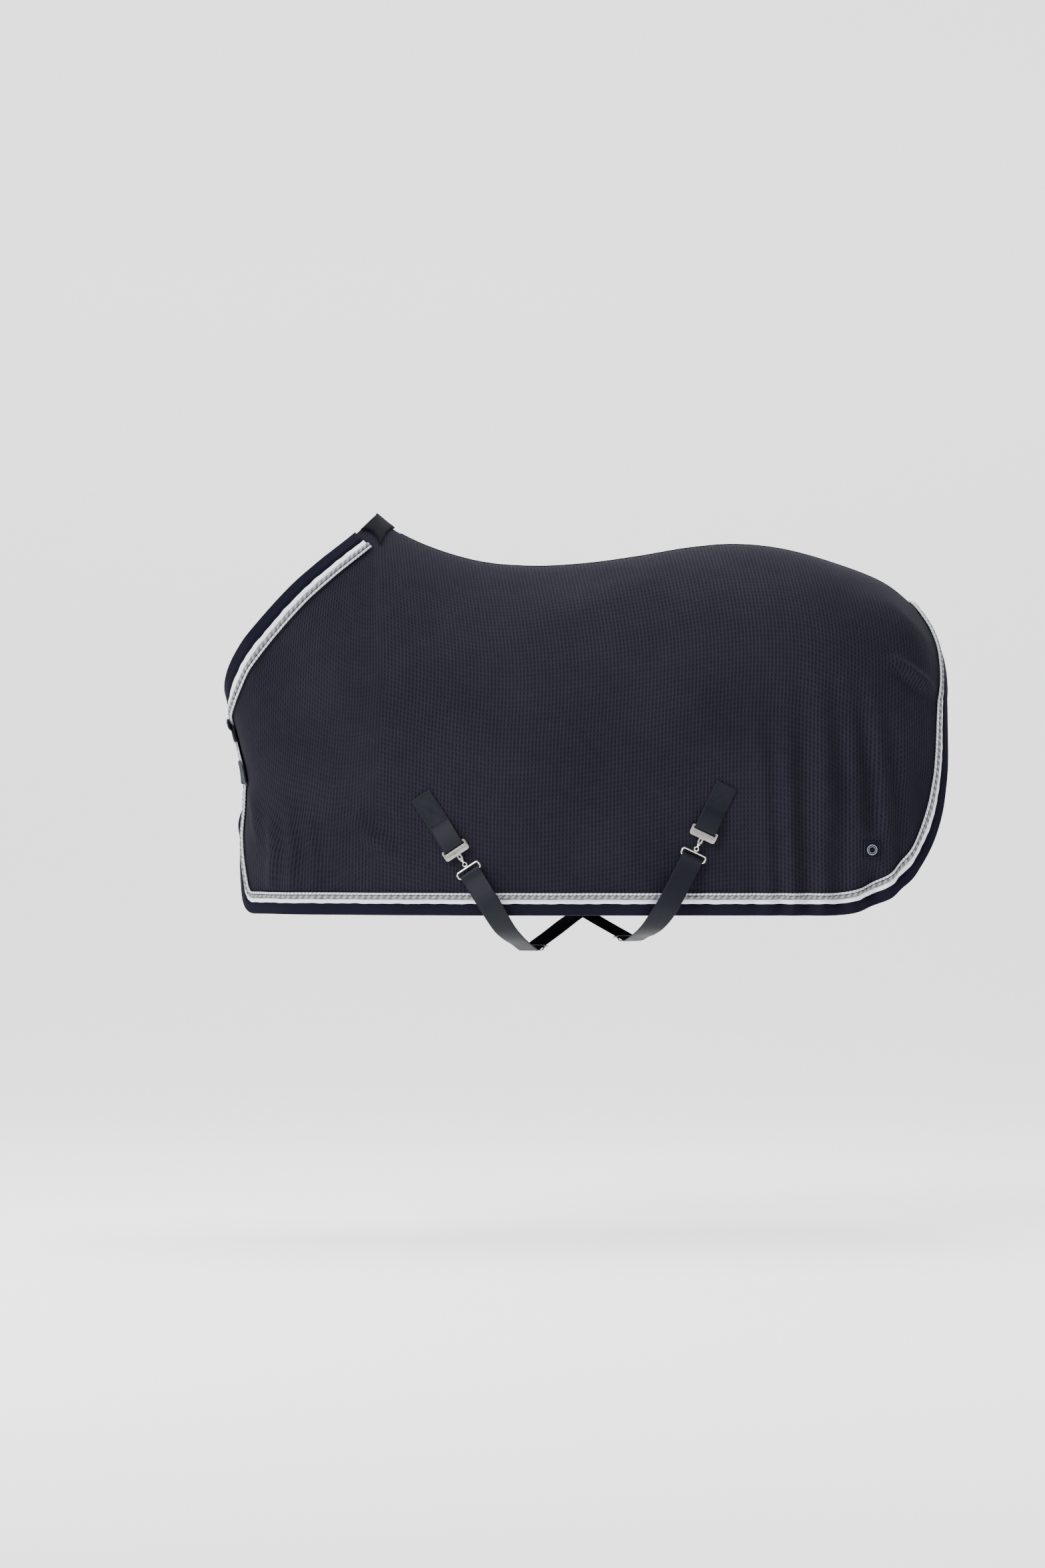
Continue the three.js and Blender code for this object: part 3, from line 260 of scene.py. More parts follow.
def lifted(u, v, side, height, draped=True):
    """A point on the panel's outer face moved along its normal by height, with the cloth's folds added."""
    p = skin(u, v, side)
    normal = tangents(u, v, side)[2]
    h = np.asarray(height, float)
    if draped:
        h = h + folds(p[..., 0], p[..., 2], side)
    q = p + normal * h[..., None]
    q[..., 1] = side * np.maximum(SEAM_GAP / 2, side * q[..., 1])
    return q


def span(u0, v0, u1, v1):
    return float(np.linalg.norm(skin(u0, v0, -1) - skin(u1, v1, -1)))


FRONT_U = 0.1 * FRONT_CORNER / span(0, 0.9, 0.1, 0.9)
FRONT_V = 0.1 * FRONT_CORNER / span(0.05, 0.85, 0.05, 0.95)
REAR_U = 0.2 * REAR_CORNER / span(0.8, 0.9, 1, 0.9)
REAR_V = 0.3 * REAR_CORNER / span(0.97, 0.6, 0.97, 0.9)


def dip(t):
    return 1 - np.sqrt(1 - np.clip(t, 0, 1) ** 2)


def top_v(u):
    return CHEST_V * dip(1 - u / FRONT_U)


def hem_v(u):
    return 1 - FRONT_V * dip(1 - u / FRONT_U) - REAR_V * dip(1 - (1 - u) / REAR_U)


def locate(x, z, side):
    """Newton's method in the side view: the surface parameters of a point given by x and z."""
    x, z = np.broadcast_arrays(np.asarray(x, float), np.asarray(z, float))
    u = np.clip((x - CHEST_X) / (REAR_X - CHEST_X), 0.02, 0.98)
    v = np.clip(z / HEM_Z, 0.05, 0.95)
    for _ in range(12):
        p = skin(u, v, side)
        du, dv, _n = tangents(u, v, side)
        det = du[..., 0] * dv[..., 2] - du[..., 2] * dv[..., 0]
        ex, ez = x - p[..., 0], z - p[..., 2]
        u = np.clip(u + (ex * dv[..., 2] - ez * dv[..., 0]) / det, 0, 1)
        v = np.clip(v + (du[..., 0] * ez - du[..., 2] * ex) / det, 0, 1)
    return u, v


WITHERS_U = 0.23606389881751966
PATCH_U = float(locate(-67, -13, -1)[0])


def columns(shoulder, barrel, front=10, rear=36):
    """Columns from the front edge to the rear edge, crowded where the corners are rounded."""
    a = FRONT_U * (1 - np.cos(np.linspace(0, np.pi / 2, front)))
    b = np.linspace(FRONT_U, WITHERS_U, shoulder + 1)[1:]
    c = np.linspace(WITHERS_U, 1 - REAR_U, barrel + 1)[1:]
    d = 1 - REAR_U * (1 - np.sin(np.linspace(0, np.pi / 2, rear)))[1:]
    return np.concatenate([a, b, c, d])


def outline(step):
    """The trimmed edge in (u, v): neck from the withers down, front edge, hem and rear edge, step mm apart."""
    u = columns(90, 90, 24, 90)
    e = np.linspace(0, 1, 80)
    neck = u[u < PATCH_U][::-1]
    line = np.vstack([
        np.stack([neck, top_v(neck)], 1),
        np.stack([0 * e, CHEST_V + (hem_v(0) - CHEST_V) * e], 1)[1:-1],
        np.stack([u, hem_v(u)], 1),
        np.stack([0 * e + 1, hem_v(1) + (SPINE_STOP - hem_v(1)) * e], 1)[1:],
    ])
    p = skin(line[:, 0], line[:, 1], -1)
    s = np.concatenate([[0], np.cumsum(np.linalg.norm(np.diff(p, axis=0), axis=1))])
    t = np.linspace(0, s[-1], int(s[-1] / step) + 1)
    return np.stack([np.interp(t, s, line[:, 0]), np.interp(t, s, line[:, 1])], 1), t


def smooth_rows(a, n):
    """Moving average over rows, the ends kept."""
    if n < 1:
        return a
    k = np.ones(2 * n + 1) / (2 * n + 1)
    padded = np.vstack([np.repeat(a[:1], n, 0), a, np.repeat(a[-1:], n, 0)])
    return np.stack([np.convolve(padded[:, c], k, "valid") for c in range(a.shape[1])], 1)


def inset(line, side, distance):
    """Marches over the surface square to the outline: solves the metric for the inward unit step, 5 mm at a time."""
    tangent = np.gradient(smooth_rows(line, 2), axis=0)
    u, v = line[:, 0].copy(), line[:, 1].copy()
    distance = np.broadcast_to(np.asarray(distance, float), u.shape)
    steps = max(1, int(np.ceil(np.abs(distance).max() / 5)))
    for _ in range(steps):
        du, dv, _n = tangents(np.clip(u, 0.004, 0.996), np.clip(v, 0.004, 0.996), side)
        along = du * tangent[:, :1] + dv * tangent[:, 1:]
        inward = unit(np.cross(along, unit(np.cross(du, dv))))
        uu, uv, vv = (du * du).sum(1), (du * dv).sum(1), (dv * dv).sum(1)
        pu, pv = (inward * du).sum(1), (inward * dv).sum(1)
        det = uu * vv - uv * uv
        u = u + (pu * vv - pv * uv) / det * distance / steps
        v = v + (pv * uu - pu * uv) / det * distance / steps
    return np.clip(u, 0, 1), np.clip(v, 0, 1)


# ---- meshes ----
def finish_mesh(name, verts, faces, uv=None, smooth=True, merge=0.0):
    """One mesh object from points in millimetres; faces are index rows and uv holds a pair for each face corner."""
    name = name.replace(" ", "-")
    mesh = bpy.data.meshes.new(name)
    mesh.from_pydata((np.asarray(verts) * 0.001).tolist(), [], faces if isinstance(faces, list) else faces.tolist())
    if uv is not None:
        layer = mesh.uv_layers.new(name="UVMap")
        layer.data.foreach_set("uv", np.asarray(uv, np.float32).ravel())
    bm = bmesh.new()
    bm.from_mesh(mesh)
    if merge:
        bmesh.ops.remove_doubles(bm, verts=bm.verts, dist=merge * 0.001)
    bmesh.ops.recalc_face_normals(bm, faces=bm.faces)
    bm.to_mesh(mesh)
    bm.free()
    mesh.polygons.foreach_set("use_smooth", np.full(len(mesh.polygons), smooth))
    mesh.update()
    made = bpy.data.objects.new(name, mesh)
    bpy.context.scene.collection.objects.link(made)
    return made


def tube_data(rings, closed_path=False, start=0):
    """Faces and uv of a loft through rings (n, m, 3), capped unless the path is closed; uv in metres."""
    n, m = rings.shape[:2]
    i, j = np.meshgrid(np.arange(n if closed_path else n - 1), np.arange(m), indexing="ij")
    i, j = i.ravel(), j.ravel()
    i2, j2 = (i + 1) % n, (j + 1) % m
    faces = np.stack([i * m + j, i * m + j2, i2 * m + j2, i2 * m + j], 1) + start
    s = np.concatenate([[0], np.cumsum(np.linalg.norm(np.diff(rings.mean(1), axis=0), axis=1))]) * 0.001
    edge = np.linalg.norm(np.roll(rings, -1, 1) - rings, axis=2).mean(0)
    w = np.concatenate([[0], np.cumsum(edge)]) * 0.001
    s = np.append(s, s[-1] + (np.linalg.norm(rings[0].mean(0) - rings[-1].mean(0)) * 0.001 if closed_path else 0))
    quad = np.stack([s[i], w[j], s[i], w[j + 1], s[i + 1], w[j + 1], s[i + 1], w[j]], 1).reshape(-1, 4, 2)
    caps = []
    cap_uv = []
    if not closed_path:
        caps = [list(range(start + m - 1, start - 1, -1)), list(range(start + (n - 1) * m, start + n * m))]
        cap_uv = [np.zeros((m, 2)), np.full((m, 2), s[n - 1])]
    return faces.tolist() + caps, np.vstack([quad.reshape(-1, 2)] + cap_uv)


def loft(name, rings, closed_path=False):
    faces, uv = tube_data(rings, closed_path)
    return finish_mesh(name, rings.reshape(-1, 3), faces, uv)


def lofts(name, many, closed_path=False):
    """Several lofts as one mesh."""
    verts, faces, uvs, start = [], [], [], 0
    for rings in many:
        f, uv = tube_data(rings, closed_path, start)
        verts.append(rings.reshape(-1, 3))
        faces += f
        uvs.append(uv)
        start += rings.shape[0] * rings.shape[1]
    return finish_mesh(name, np.vstack(verts), faces, np.vstack(uvs))


def quilt(name, top, bottom, s=None, t=None):
    """A closed sheet between two grids of points (n, m, 3), with uv s and t in metres."""
    n, m = top.shape[:2]
    if s is None:
        s = np.concatenate([np.zeros((1, m)), np.cumsum(np.linalg.norm(np.diff(top, axis=0), axis=2), 0)]) * 0.001
    if t is None:
        t = np.concatenate([np.zeros((n, 1)), np.cumsum(np.linalg.norm(np.diff(top, axis=1), axis=2), 1)], 1) * 0.001
    k = np.arange(n * m).reshape(n, m)
    a, b, c, d = k[:-1, :-1].ravel(), k[:-1, 1:].ravel(), k[1:, 1:].ravel(), k[1:, :-1].ravel()
    upper, lower = np.stack([a, b, c, d], 1), np.stack([a, d, c, b], 1) + n * m
    rim = np.concatenate([k[:, 0], k[-1, 1:], k[-2::-1, -1], k[0, -2:0:-1]])
    nxt = np.roll(rim, -1)
    side = np.stack([nxt, nxt + n * m, rim + n * m, rim], 1)
    faces = np.vstack([upper, lower, side])
    st = np.stack([np.tile(s.ravel(), 2), np.tile(t.ravel(), 2)], 1)
    return finish_mesh(name, np.vstack([top.reshape(-1, 3), bottom.reshape(-1, 3)]), faces, st[faces.ravel()])


def frames_along(path, across=None, closed=False):
    """Unit tangent, width and outward directions along a path; width stays square to the path."""
    run = unit(np.roll(path, -1, 0) - np.roll(path, 1, 0)) if closed else unit(np.gradient(path, axis=0))
    if across is None:
        across = np.zeros_like(path)
        seed = np.array([0.3, -1.0, 0.2])
        w = unit(seed - run[0] * (seed @ run[0]))
        for i in range(len(path)):
            w = unit(w - run[i] * (w @ run[i]))
            across[i] = w
    else:
        across = unit(across - run * (across * run).sum(1, keepdims=True))
    return run, across, np.cross(run, across)


def wire_rings(path, radius, sides=12, across=None, closed=False):
    _run, a, o = frames_along(path, across, closed)
    turn = np.linspace(0, 2 * np.pi, sides, endpoint=False)
    r = np.broadcast_to(np.asarray(radius, float), (len(path),))[:, None, None]
    return path[:, None] + r * (np.cos(turn)[None, :, None] * a[:, None] + np.sin(turn)[None, :, None] * o[:, None])


def web_rings(path, across, width=WEBBING, thick=WEB_THICK, bulge=0.0):
    """Rings of a webbing: a flat bar with half-round selvedges."""
    _run, a, o = frames_along(path, across)
    r = thick / 2
    flat = np.linspace(-width / 2 + r, width / 2 - r, 9)
    arc = np.linspace(-np.pi / 2, np.pi / 2, 5)[1:-1]
    c = np.concatenate([flat, width / 2 - r + r * np.cos(arc), flat[::-1], -width / 2 + r - r * np.cos(arc)])
    h = np.concatenate([0 * flat - r, r * np.sin(arc), 0 * flat + r, -r * np.sin(arc)])
    h = h + bulge * (1 - (2 * c / width) ** 2)
    return path[:, None] + c[None, :, None] * a[:, None] + h[None, :, None] * o[:, None]


def stitches(name, rows, length=3.4, gap=1.3, radius=0.5):
    """Rows of raised stitches: each row is (points, outward direction), cut into short ellipsoids lying along it."""
    centres, runs, outs = [], [], []
    for points, out in rows:
        p = np.asarray(points, float)
        s = np.concatenate([[0], np.cumsum(np.linalg.norm(np.diff(p, axis=0), axis=1))])
        n = max(1, int(s[-1] / (length + gap)))
        at = (np.arange(n) + 0.5) * s[-1] / n
        get = lambda q, w: np.stack([np.interp(w, s, q[:, k]) for k in range(3)], 1)
        c = get(p, at)
        run = unit(get(p, np.minimum(at + 1, s[-1])) - get(p, np.maximum(at - 1, 0)))
        o = np.broadcast_to(np.asarray(out, float), p.shape)
        centres.append(c)
        runs.append(run)
        outs.append(unit(get(np.array(o), at)))
    c, run, out = (np.vstack(q) for q in (centres, runs, outs))
    across = unit(np.cross(run, out))
    a = np.linspace(0, np.pi, 6)[1:-1]
    b = np.linspace(0, 2 * np.pi, 6, endpoint=False)
    ring = np.stack([np.repeat(np.cos(a), 6) * length / 2, np.tile(np.cos(b), 4) * np.repeat(np.sin(a) ** 0.6, 6) * radius,
                     np.tile(np.sin(b), 4) * np.repeat(np.sin(a) ** 0.6, 6) * radius], 1)
    ring = np.vstack([ring, [[length / 2, 0, 0], [-length / 2, 0, 0]]])
    v = c[:, None] + ring[None, :, :1] * run[:, None] + ring[None, :, 1:2] * across[:, None] + ring[None, :, 2:] * out[:, None]
    q = [(r * 6 + k, (r + 1) * 6 + k, (r + 1) * 6 + (k + 1) % 6, r * 6 + (k + 1) % 6) for r in range(3) for k in range(6)]
    e = [(24, k, (k + 1) % 6) for k in range(6)] + [(25, 18 + (k + 1) % 6, 18 + k) for k in range(6)]
    base = np.arange(len(c))[:, None, None] * 26
    faces = (np.array(q)[None] + base).reshape(-1, 4).tolist() + (np.array(e)[None] + base).reshape(-1, 3).tolist()
    return finish_mesh(name, v.reshape(-1, 3), faces)


# ---- local frames of the hardware (origin, along the strap, across it, out of its face) ----
def local(origin, along, across, out):
    return [np.array(q, float) for q in (origin, along, across, out)]


BARS = {
    "front": local((157.2402, -306.8214, -727.2455), (0.543, -0.0877, -0.8351), (0.8245, -0.1327, 0.5501), (-0.159, -0.9873, 0.0002)),
    "rear": local((725.8845, -314.8967, -689.1026), (-0.43, -0.0046, -0.9028), (0.9028, 0.0061, -0.43), (0.0075, -1, 0.0015)),
}
ANCHORS = {
    "front": local((717.835, 296.9584, -655), (-0.4234, 0.0104, -0.9059), (-0.9056, 0.0222, 0.4236), (0.0245, 0.9997, 0.0001)),
    "rear": local((161.076, 289.0915, -652), (0.4449, 0.0591, -0.8936), (-0.8859, -0.1175, -0.4488), (-0.1315, 0.9913, 0)),
}
BADGE_FRAME = local((1102.0, -293.2, -723.02), (0.0008, 0.0066, -1), (0.9692, 0.2462, 0.0024), (0.2462, -0.9692, -0.0062))
TAB_LENGTH = {"front": 138.0, "rear": 112.0}
LOW = {"front": (330, -215, -962), "rear": (562, -215, -940)}
BEND = {"front": [(240, -338, -858), (277, -306, -917)], "rear": [(638, -342, -862), (603, -306, -911)]}
CROSS = {"front": (440, 0, -888), "rear": (440, 0, -875)}
FAR = {"front": (545, 175, -845), "rear": (340, 170, -836)}
SLIDE_RUN, END_GAP = 120.0, 5.0
LIP = PLATE_DROP + PLATE_HEIGHT
FOOT = LIP + PRONG_LENGTH
HOOK_START = FOOT + PRONG + PLAY
BAIL_TOP = HOOK_START + SWIVEL_LENGTH + EYE + PLAY
LOWER_BAR = BAIL_TOP + BAIL_HEIGHT - BAIL_WIRE / 2
WORDS = ("front", "rear")
SIDES = (("near", -1), ("off", 1))


def place(f, a, c, o):
    a, c, o = np.broadcast_arrays(np.asarray(a, float), np.asarray(c, float), np.asarray(o, float))
    return f[0] + a[..., None] * f[1] + c[..., None] * f[2] + o[..., None] * f[3]


def ride(piece, body, slot, *nodes):
    """The piece moves with a body, takes a material slot and stands for its CAD nodes."""
    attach(piece, body)
    if nodes:
        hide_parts(*nodes)
    piece.data.materials.append(MATERIALS[slot if slot in MATERIALS else "thread"])
    return piece


# ---- cloth ----
def panel_piece(word, side):
    """Grid of the skin between its rounded top and hem lines, 5 mm thick, with folds added along the normal."""
    u = columns(66, 104, 12, 56)
    rows = np.linspace(0, 1, 165)
    uu = np.repeat(u[:, None], len(rows), 1)
    vv = top_v(uu) + (hem_v(uu) - top_v(uu)) * rows[None]
    top, low = lifted(uu, vv, side, 0.0), lifted(uu, vv, side, -FLEECE)
    flat = skin(uu, vv, side)
    s = np.concatenate([np.zeros((1, len(rows))), np.cumsum(np.linalg.norm(np.diff(flat, axis=0), axis=2), 0)])
    middle = int(np.argmin(np.abs(u - 0.5)))
    s = (s - s[middle] + 660) * 0.001
    t = np.concatenate([np.zeros((len(u), 1)), np.cumsum(np.linalg.norm(np.diff(flat, axis=1), axis=2), 1)], 1) * 0.001
    piece = quilt(f"{word} side fleece", top, low, s, t)
    area = float(np.linalg.norm(np.cross(flat[1:, :-1] - flat[:-1, :-1], flat[:-1, 1:] - flat[:-1, :-1]), axis=2).sum()) * 1e-6
    ride(piece, "rug", "fleece", f"{word}_panel")
    return piece, area


def trim_pieces(word, side):
    """Binding folded over the raw edge, wavy tape, two-strand twisted cord and fine cord, all along one outline."""
    line, s = outline(7.0)
    g, h = TRIM_GAP, TRIM_GAP + BINDING_THICK
    ui, vi = inset(line, side, BINDING)
    um, vm = inset(line, side, BINDING * 0.5)
    edge = lifted(line[:, 0], line[:, 1], side, 0.0)
    normal = tangents(np.clip(line[:, 0], 0.004, 0.996), np.clip(line[:, 1], 0.004, 0.996), side)[2]
    inner6 = inset(line, side, 6.0)
    outward = unit(skin(line[:, 0], line[:, 1], side) - skin(*inner6, side))

    def fold(height, reach):
        p = edge + normal * height + outward * reach
        p[:, 1] = side * np.maximum(SEAM_GAP / 2, side * p[:, 1])
        return p

    low, deep = -FLEECE - g, -FLEECE - h
    ring = [lifted(ui, vi, side, g), lifted(um, vm, side, g), fold(g, TURN_IN), fold(low, TURN_IN), lifted(um, vm, side, low),
            lifted(ui, vi, side, low), lifted(ui, vi, side, deep), lifted(um, vm, side, deep), fold(deep + 0.2, TURN_IN * 0.5)]
    middle, r = (h + deep) / 2, (h - deep) / 2
    for turn in np.linspace(-0.42, 0.42, 7) * np.pi:
        ring.append(fold(middle + r * np.sin(turn), TURN_IN + BINDING_THICK - r * 0.42 * (1 - np.cos(turn))))
    ring += [fold(h - 0.2, TURN_IN * 0.5), lifted(um, vm, side, h + 0.15), lifted(ui, vi, side, h)]
    ride(loft(f"{word} edge binding", np.stack(ring, 1)), "rug", "binding", f"{word}_binding")

    line, s = outline(5.0)
    wave = 0.55 * np.sin(s / 11.0) * np.sin(s / 37.0 + 1) + 0.35 * np.sin(s / 5.3)
    cols = [TAPE_FROM + wave, TAPE_FROM + 1 + wave, TAPE_FROM + TAPE / 2 + 0 * wave, TAPE_FROM + TAPE - 1 + 0.7 * wave,
            TAPE_FROM + TAPE + 0.7 * wave]
    at = [inset(line, side, c) for c in cols]
    crown = (0.0, 0.35, 0.5, 0.35, 0.0)
    ring = [lifted(u, v, side, TRIM_GAP + TAPE_THICK - 0.9 + c + 0.2 * np.sin(s / 4.1)) for (u, v), c in zip(at, crown)]
    ring += [lifted(u, v, side, TRIM_GAP) for u, v in at[::-1]]
    ride(loft(f"{word} edge tape", np.stack(ring, 1)), "rug", "white_tape", f"{word}_outer_tape")

    for kind, start, size, slot, pitch, lobes in (
        ("twist", TWIST_FROM, TWIST_CORD, "grey_cord", 15.0, 2), ("inner", INNER_FROM, INNER_CORD, "white_cord", 9.0, 2),
    ):
        line, s = outline(2.0)
        at = inset(line, side, start + size / 2)
        nrm = tangents(*at, side)[2]
        centre = lifted(*at, side, TRIM_GAP + size / 2)
        across = unit(lifted(*inset(line, side, start + size), side, TRIM_GAP + size / 2) - centre)
        turn = np.linspace(0, 2 * np.pi, 12, endpoint=False)
        phase = lobes * turn[None] / 2 - np.pi * s[:, None] / pitch
        radius = size / 2 * (0.8 + 0.2 * np.abs(np.cos(phase)))
        rings = (centre[:, None] + (radius * np.cos(turn))[..., None] * across[:, None]
                 + (radius * np.sin(turn))[..., None] * nrm[:, None])
        rings[..., 1] = side * np.maximum(SEAM_GAP / 2, side * rings[..., 1])
        piece = loft(f"{word} {kind} cord", rings)
        ride(piece, "rug", slot, f"{word}_{kind}_cord")


def binding_stitches(word, side):
    """Two lines of machine stitching that hold the binding and one along the tape's middle."""
    rows = []
    for distance, height in ((BINDING - 2.4, TRIM_GAP + BINDING_THICK + 0.15), (BINDING - 7.5, TRIM_GAP + BINDING_THICK + 0.25)):
        line, _s = outline(12.0)
        at = inset(line, side, distance)
        rows.append((lifted(*at, side, height), tangents(*at, side)[2]))
    ride(stitches(f"{word} binding stitching", rows, 3.6, 1.6, 0.45), "rug", "binding")


def over_spine(u, across, height):
    """A point over the centre line: |across| millimetres down the skin from it, on the side of its sign."""
    side = -1 if across <= 0 else 1
    v = np.linspace(0, 0.4, 201)
    p = skin(np.repeat(u[:, None], 201, 1), v[None], side)
    gone = np.concatenate([np.zeros((len(u), 1)), np.cumsum(np.linalg.norm(np.diff(p, axis=1), axis=2), 1)], 1)
    at = np.array([np.interp(abs(across), g, v) for g in gone])
    q = lifted(u, np.maximum(at, 0.001), side, height, draped=False)
    if across == 0:
        q[:, 1] = 0
    return q


def spine_pieces():
    u = np.linspace(WITHERS_U + 0.03, 0.935, 90)
    steps = np.linspace(-12, 12, 7)
    top = np.stack([over_spine(u, a, -FLEECE - 3.4) for a in steps], 1)
    low = np.stack([over_spine(u, a, -FLEECE - 4.4) for a in steps], 1)
    ride(quilt("centre seam tape", top, low), "rug", "binding", "spine_seam_tape")
    u = np.linspace(0.305, 0.985, 260)
    crest = np.stack([over_spine(u, a, h) for a, h in
                      ((-3.4, 0.3), (-2.2, 1.3), (-0.8, 1.9), (0.8, 1.9), (2.2, 1.3), (3.4, 0.3))], 1)
    under = np.stack([over_spine(u, a, -0.4) for a in (-3.4, -2.2, -0.8, 0.8, 2.2, 3.4)], 1)
    ride(quilt("centre seam", crest, under), "rug", "fleece")


def withers_grid(height, n=22, grow=0.0):
    low_rear = [float(q) for q in locate(-14, -40, -1)]
    rear_u = float(locate(16, 1, -1)[0])
    corner = [(WITHERS_U, 0.0), (rear_u, 0.0), tuple(low_rear), (PATCH_U + 0.004, 0.0)]
    s = np.linspace(0, 1, n)[:, None]
    tt = np.linspace(-1, 1, 2 * n - 1)[None]
    t = np.abs(tt)
    mix = lambda k: (1 - t) * ((1 - s) * corner[0][k] + s * corner[1][k]) + t * ((1 - s) * corner[3][k] + s * corner[2][k])
    uu, vv = mix(0) + 0 * tt, mix(1) + 0 * tt
    near, off = lifted(uu, np.maximum(vv, 0.0005), -1, height), lifted(uu, np.maximum(vv, 0.0005), 1, height)
    grid = np.where((tt < 0)[..., None], near, off)
    grid[:, n - 1, 1] = 0
    return grid


def withers_pieces():
    edge = np.linspace(0, 1, 22)[:, None]
    around = np.minimum(np.minimum(edge, 1 - edge) * 12, 1) * np.minimum((1 - np.abs(np.linspace(-1, 1, 43)))[None] * 14, 1)
    top = withers_grid(TRIM_GAP + 3.0 + 0 * around)
    dome = withers_grid(TRIM_GAP + 4.6 + 0 * around)
    top = top + (dome - top) * around[..., None]
    ride(quilt("withers patch", top, withers_grid(TRIM_GAP)), "rug", "dark_fleece", "withers_patch")
    low = withers_grid(-FLEECE - TRIM_GAP - 3.0)
    ride(quilt("withers lining pad", low, withers_grid(-FLEECE - TRIM_GAP - 6.0)), "rug", "dark_fleece", "withers_pad")
    rows = []
    for inwards in (2, 4):
        g = withers_grid(TRIM_GAP + 4.6)
        n, m = g.shape[:2]
        for part in (slice(1, m // 2 - 1), slice(m // 2 + 2, m - 1)):
            block = g[:, part]
            k = block.shape[1] - 1
            first = part.start < m // 2
            outer = inwards - 1 if first else k - inwards + 1
            path = np.vstack([block[inwards, (slice(None, outer, -1) if first else slice(0, outer))],
                              block[inwards:n - inwards, outer],
                              block[n - inwards - 1, (slice(outer, None) if first else slice(outer, None, -1))]])
            rows.append((path, np.array([0, -0.8 if first else 0.8, 0.6])))
    ride(stitches("withers patch stitching", rows, 3.2, 1.4, 0.5), "rug", "binding")


def chest_grid(zs, across, lift):
    """Points of the chest at heights zs (n, m) and signed distances from the middle (n, m), lifted off the panels."""
    out = np.zeros(zs.shape + (3,))
    v = np.linspace(0, 1, 1500)
    u = np.linspace(0, 0.3, 400)
    for side in (-1, 1):
        zz = skin(0.02, v, side)[:, 2]
        low = np.interp(-zs.ravel(), -zz, v).reshape(zs.shape)
        keys, back_to = np.unique(np.round(low, 5), return_inverse=True)
        back_to = back_to.reshape(low.shape)
        table = skin(u[None], keys[:, None], side)
        opening = np.abs(skin(0, keys, side)[:, 1])
        gone = opening[:, None] + np.concatenate(
            [np.zeros((len(keys), 1)), np.cumsum(np.linalg.norm(np.diff(table, axis=1), axis=2), 1)], 1)
        mine = (across < 0) == (side < 0)
        at = np.zeros(zs.shape)
        for k in range(len(keys)):
            hit = (back_to == k) & mine
            at[hit] = np.interp(np.abs(across[hit]), gone[k], u)
        p = lifted(at, keys[back_to], side, lift, draped=False)
        front = lifted(np.zeros_like(at), keys[back_to], side, lift, draped=False)
        inside = np.abs(across) <= opening[back_to]
        p = np.where(inside[..., None], np.stack([front[..., 0], across, front[..., 2]], -1), p)
        out[mine] = p[mine]
    out[..., 2] = zs
    return out


def strap_lift(across, z):
    t = np.clip((np.abs(across) - TRIMS_END) / 10, 0, 1) * np.clip((NECK_TRIMS_Z - z) / 10, 0, 1)
    return OVER_TRIMS + (ON_PADS - OVER_TRIMS) * t * t * (3 - 2 * t)


def chest_sheet(name, z, height, start, end, lift, thick, steps=60, rows=13, round_off=0.0):
    a = np.linspace(start, end, steps)[:, None]
    w = np.linspace(0.5, -0.5, rows)[None]
    trim = 1.0
    if round_off:
        near_end = np.clip(1 - np.minimum(np.abs(a - start), np.abs(a - end)) / round_off, 0, 1)
        trim = 1 - 2 * round_off / height * (1 - np.sqrt(1 - near_end ** 2)) * 0.8
    zs, across = z + w * height * trim + 0 * a, a + 0 * w
    smooth_lift = lift(across, zs)
    if steps > 20:
        smooth_lift = smooth_rows(smooth_lift, 2)
    edge = np.minimum(1, (0.5 - np.abs(w)) * height / 1.2 + 0.35) + 0 * a
    top = chest_grid(zs, across, smooth_lift + thick * edge)
    low = chest_grid(zs, across, smooth_lift + thick * (1 - edge) * 0.5)
    if start < end:
        return quilt(name, top[::-1], low[::-1])
    return quilt(name, top, low)


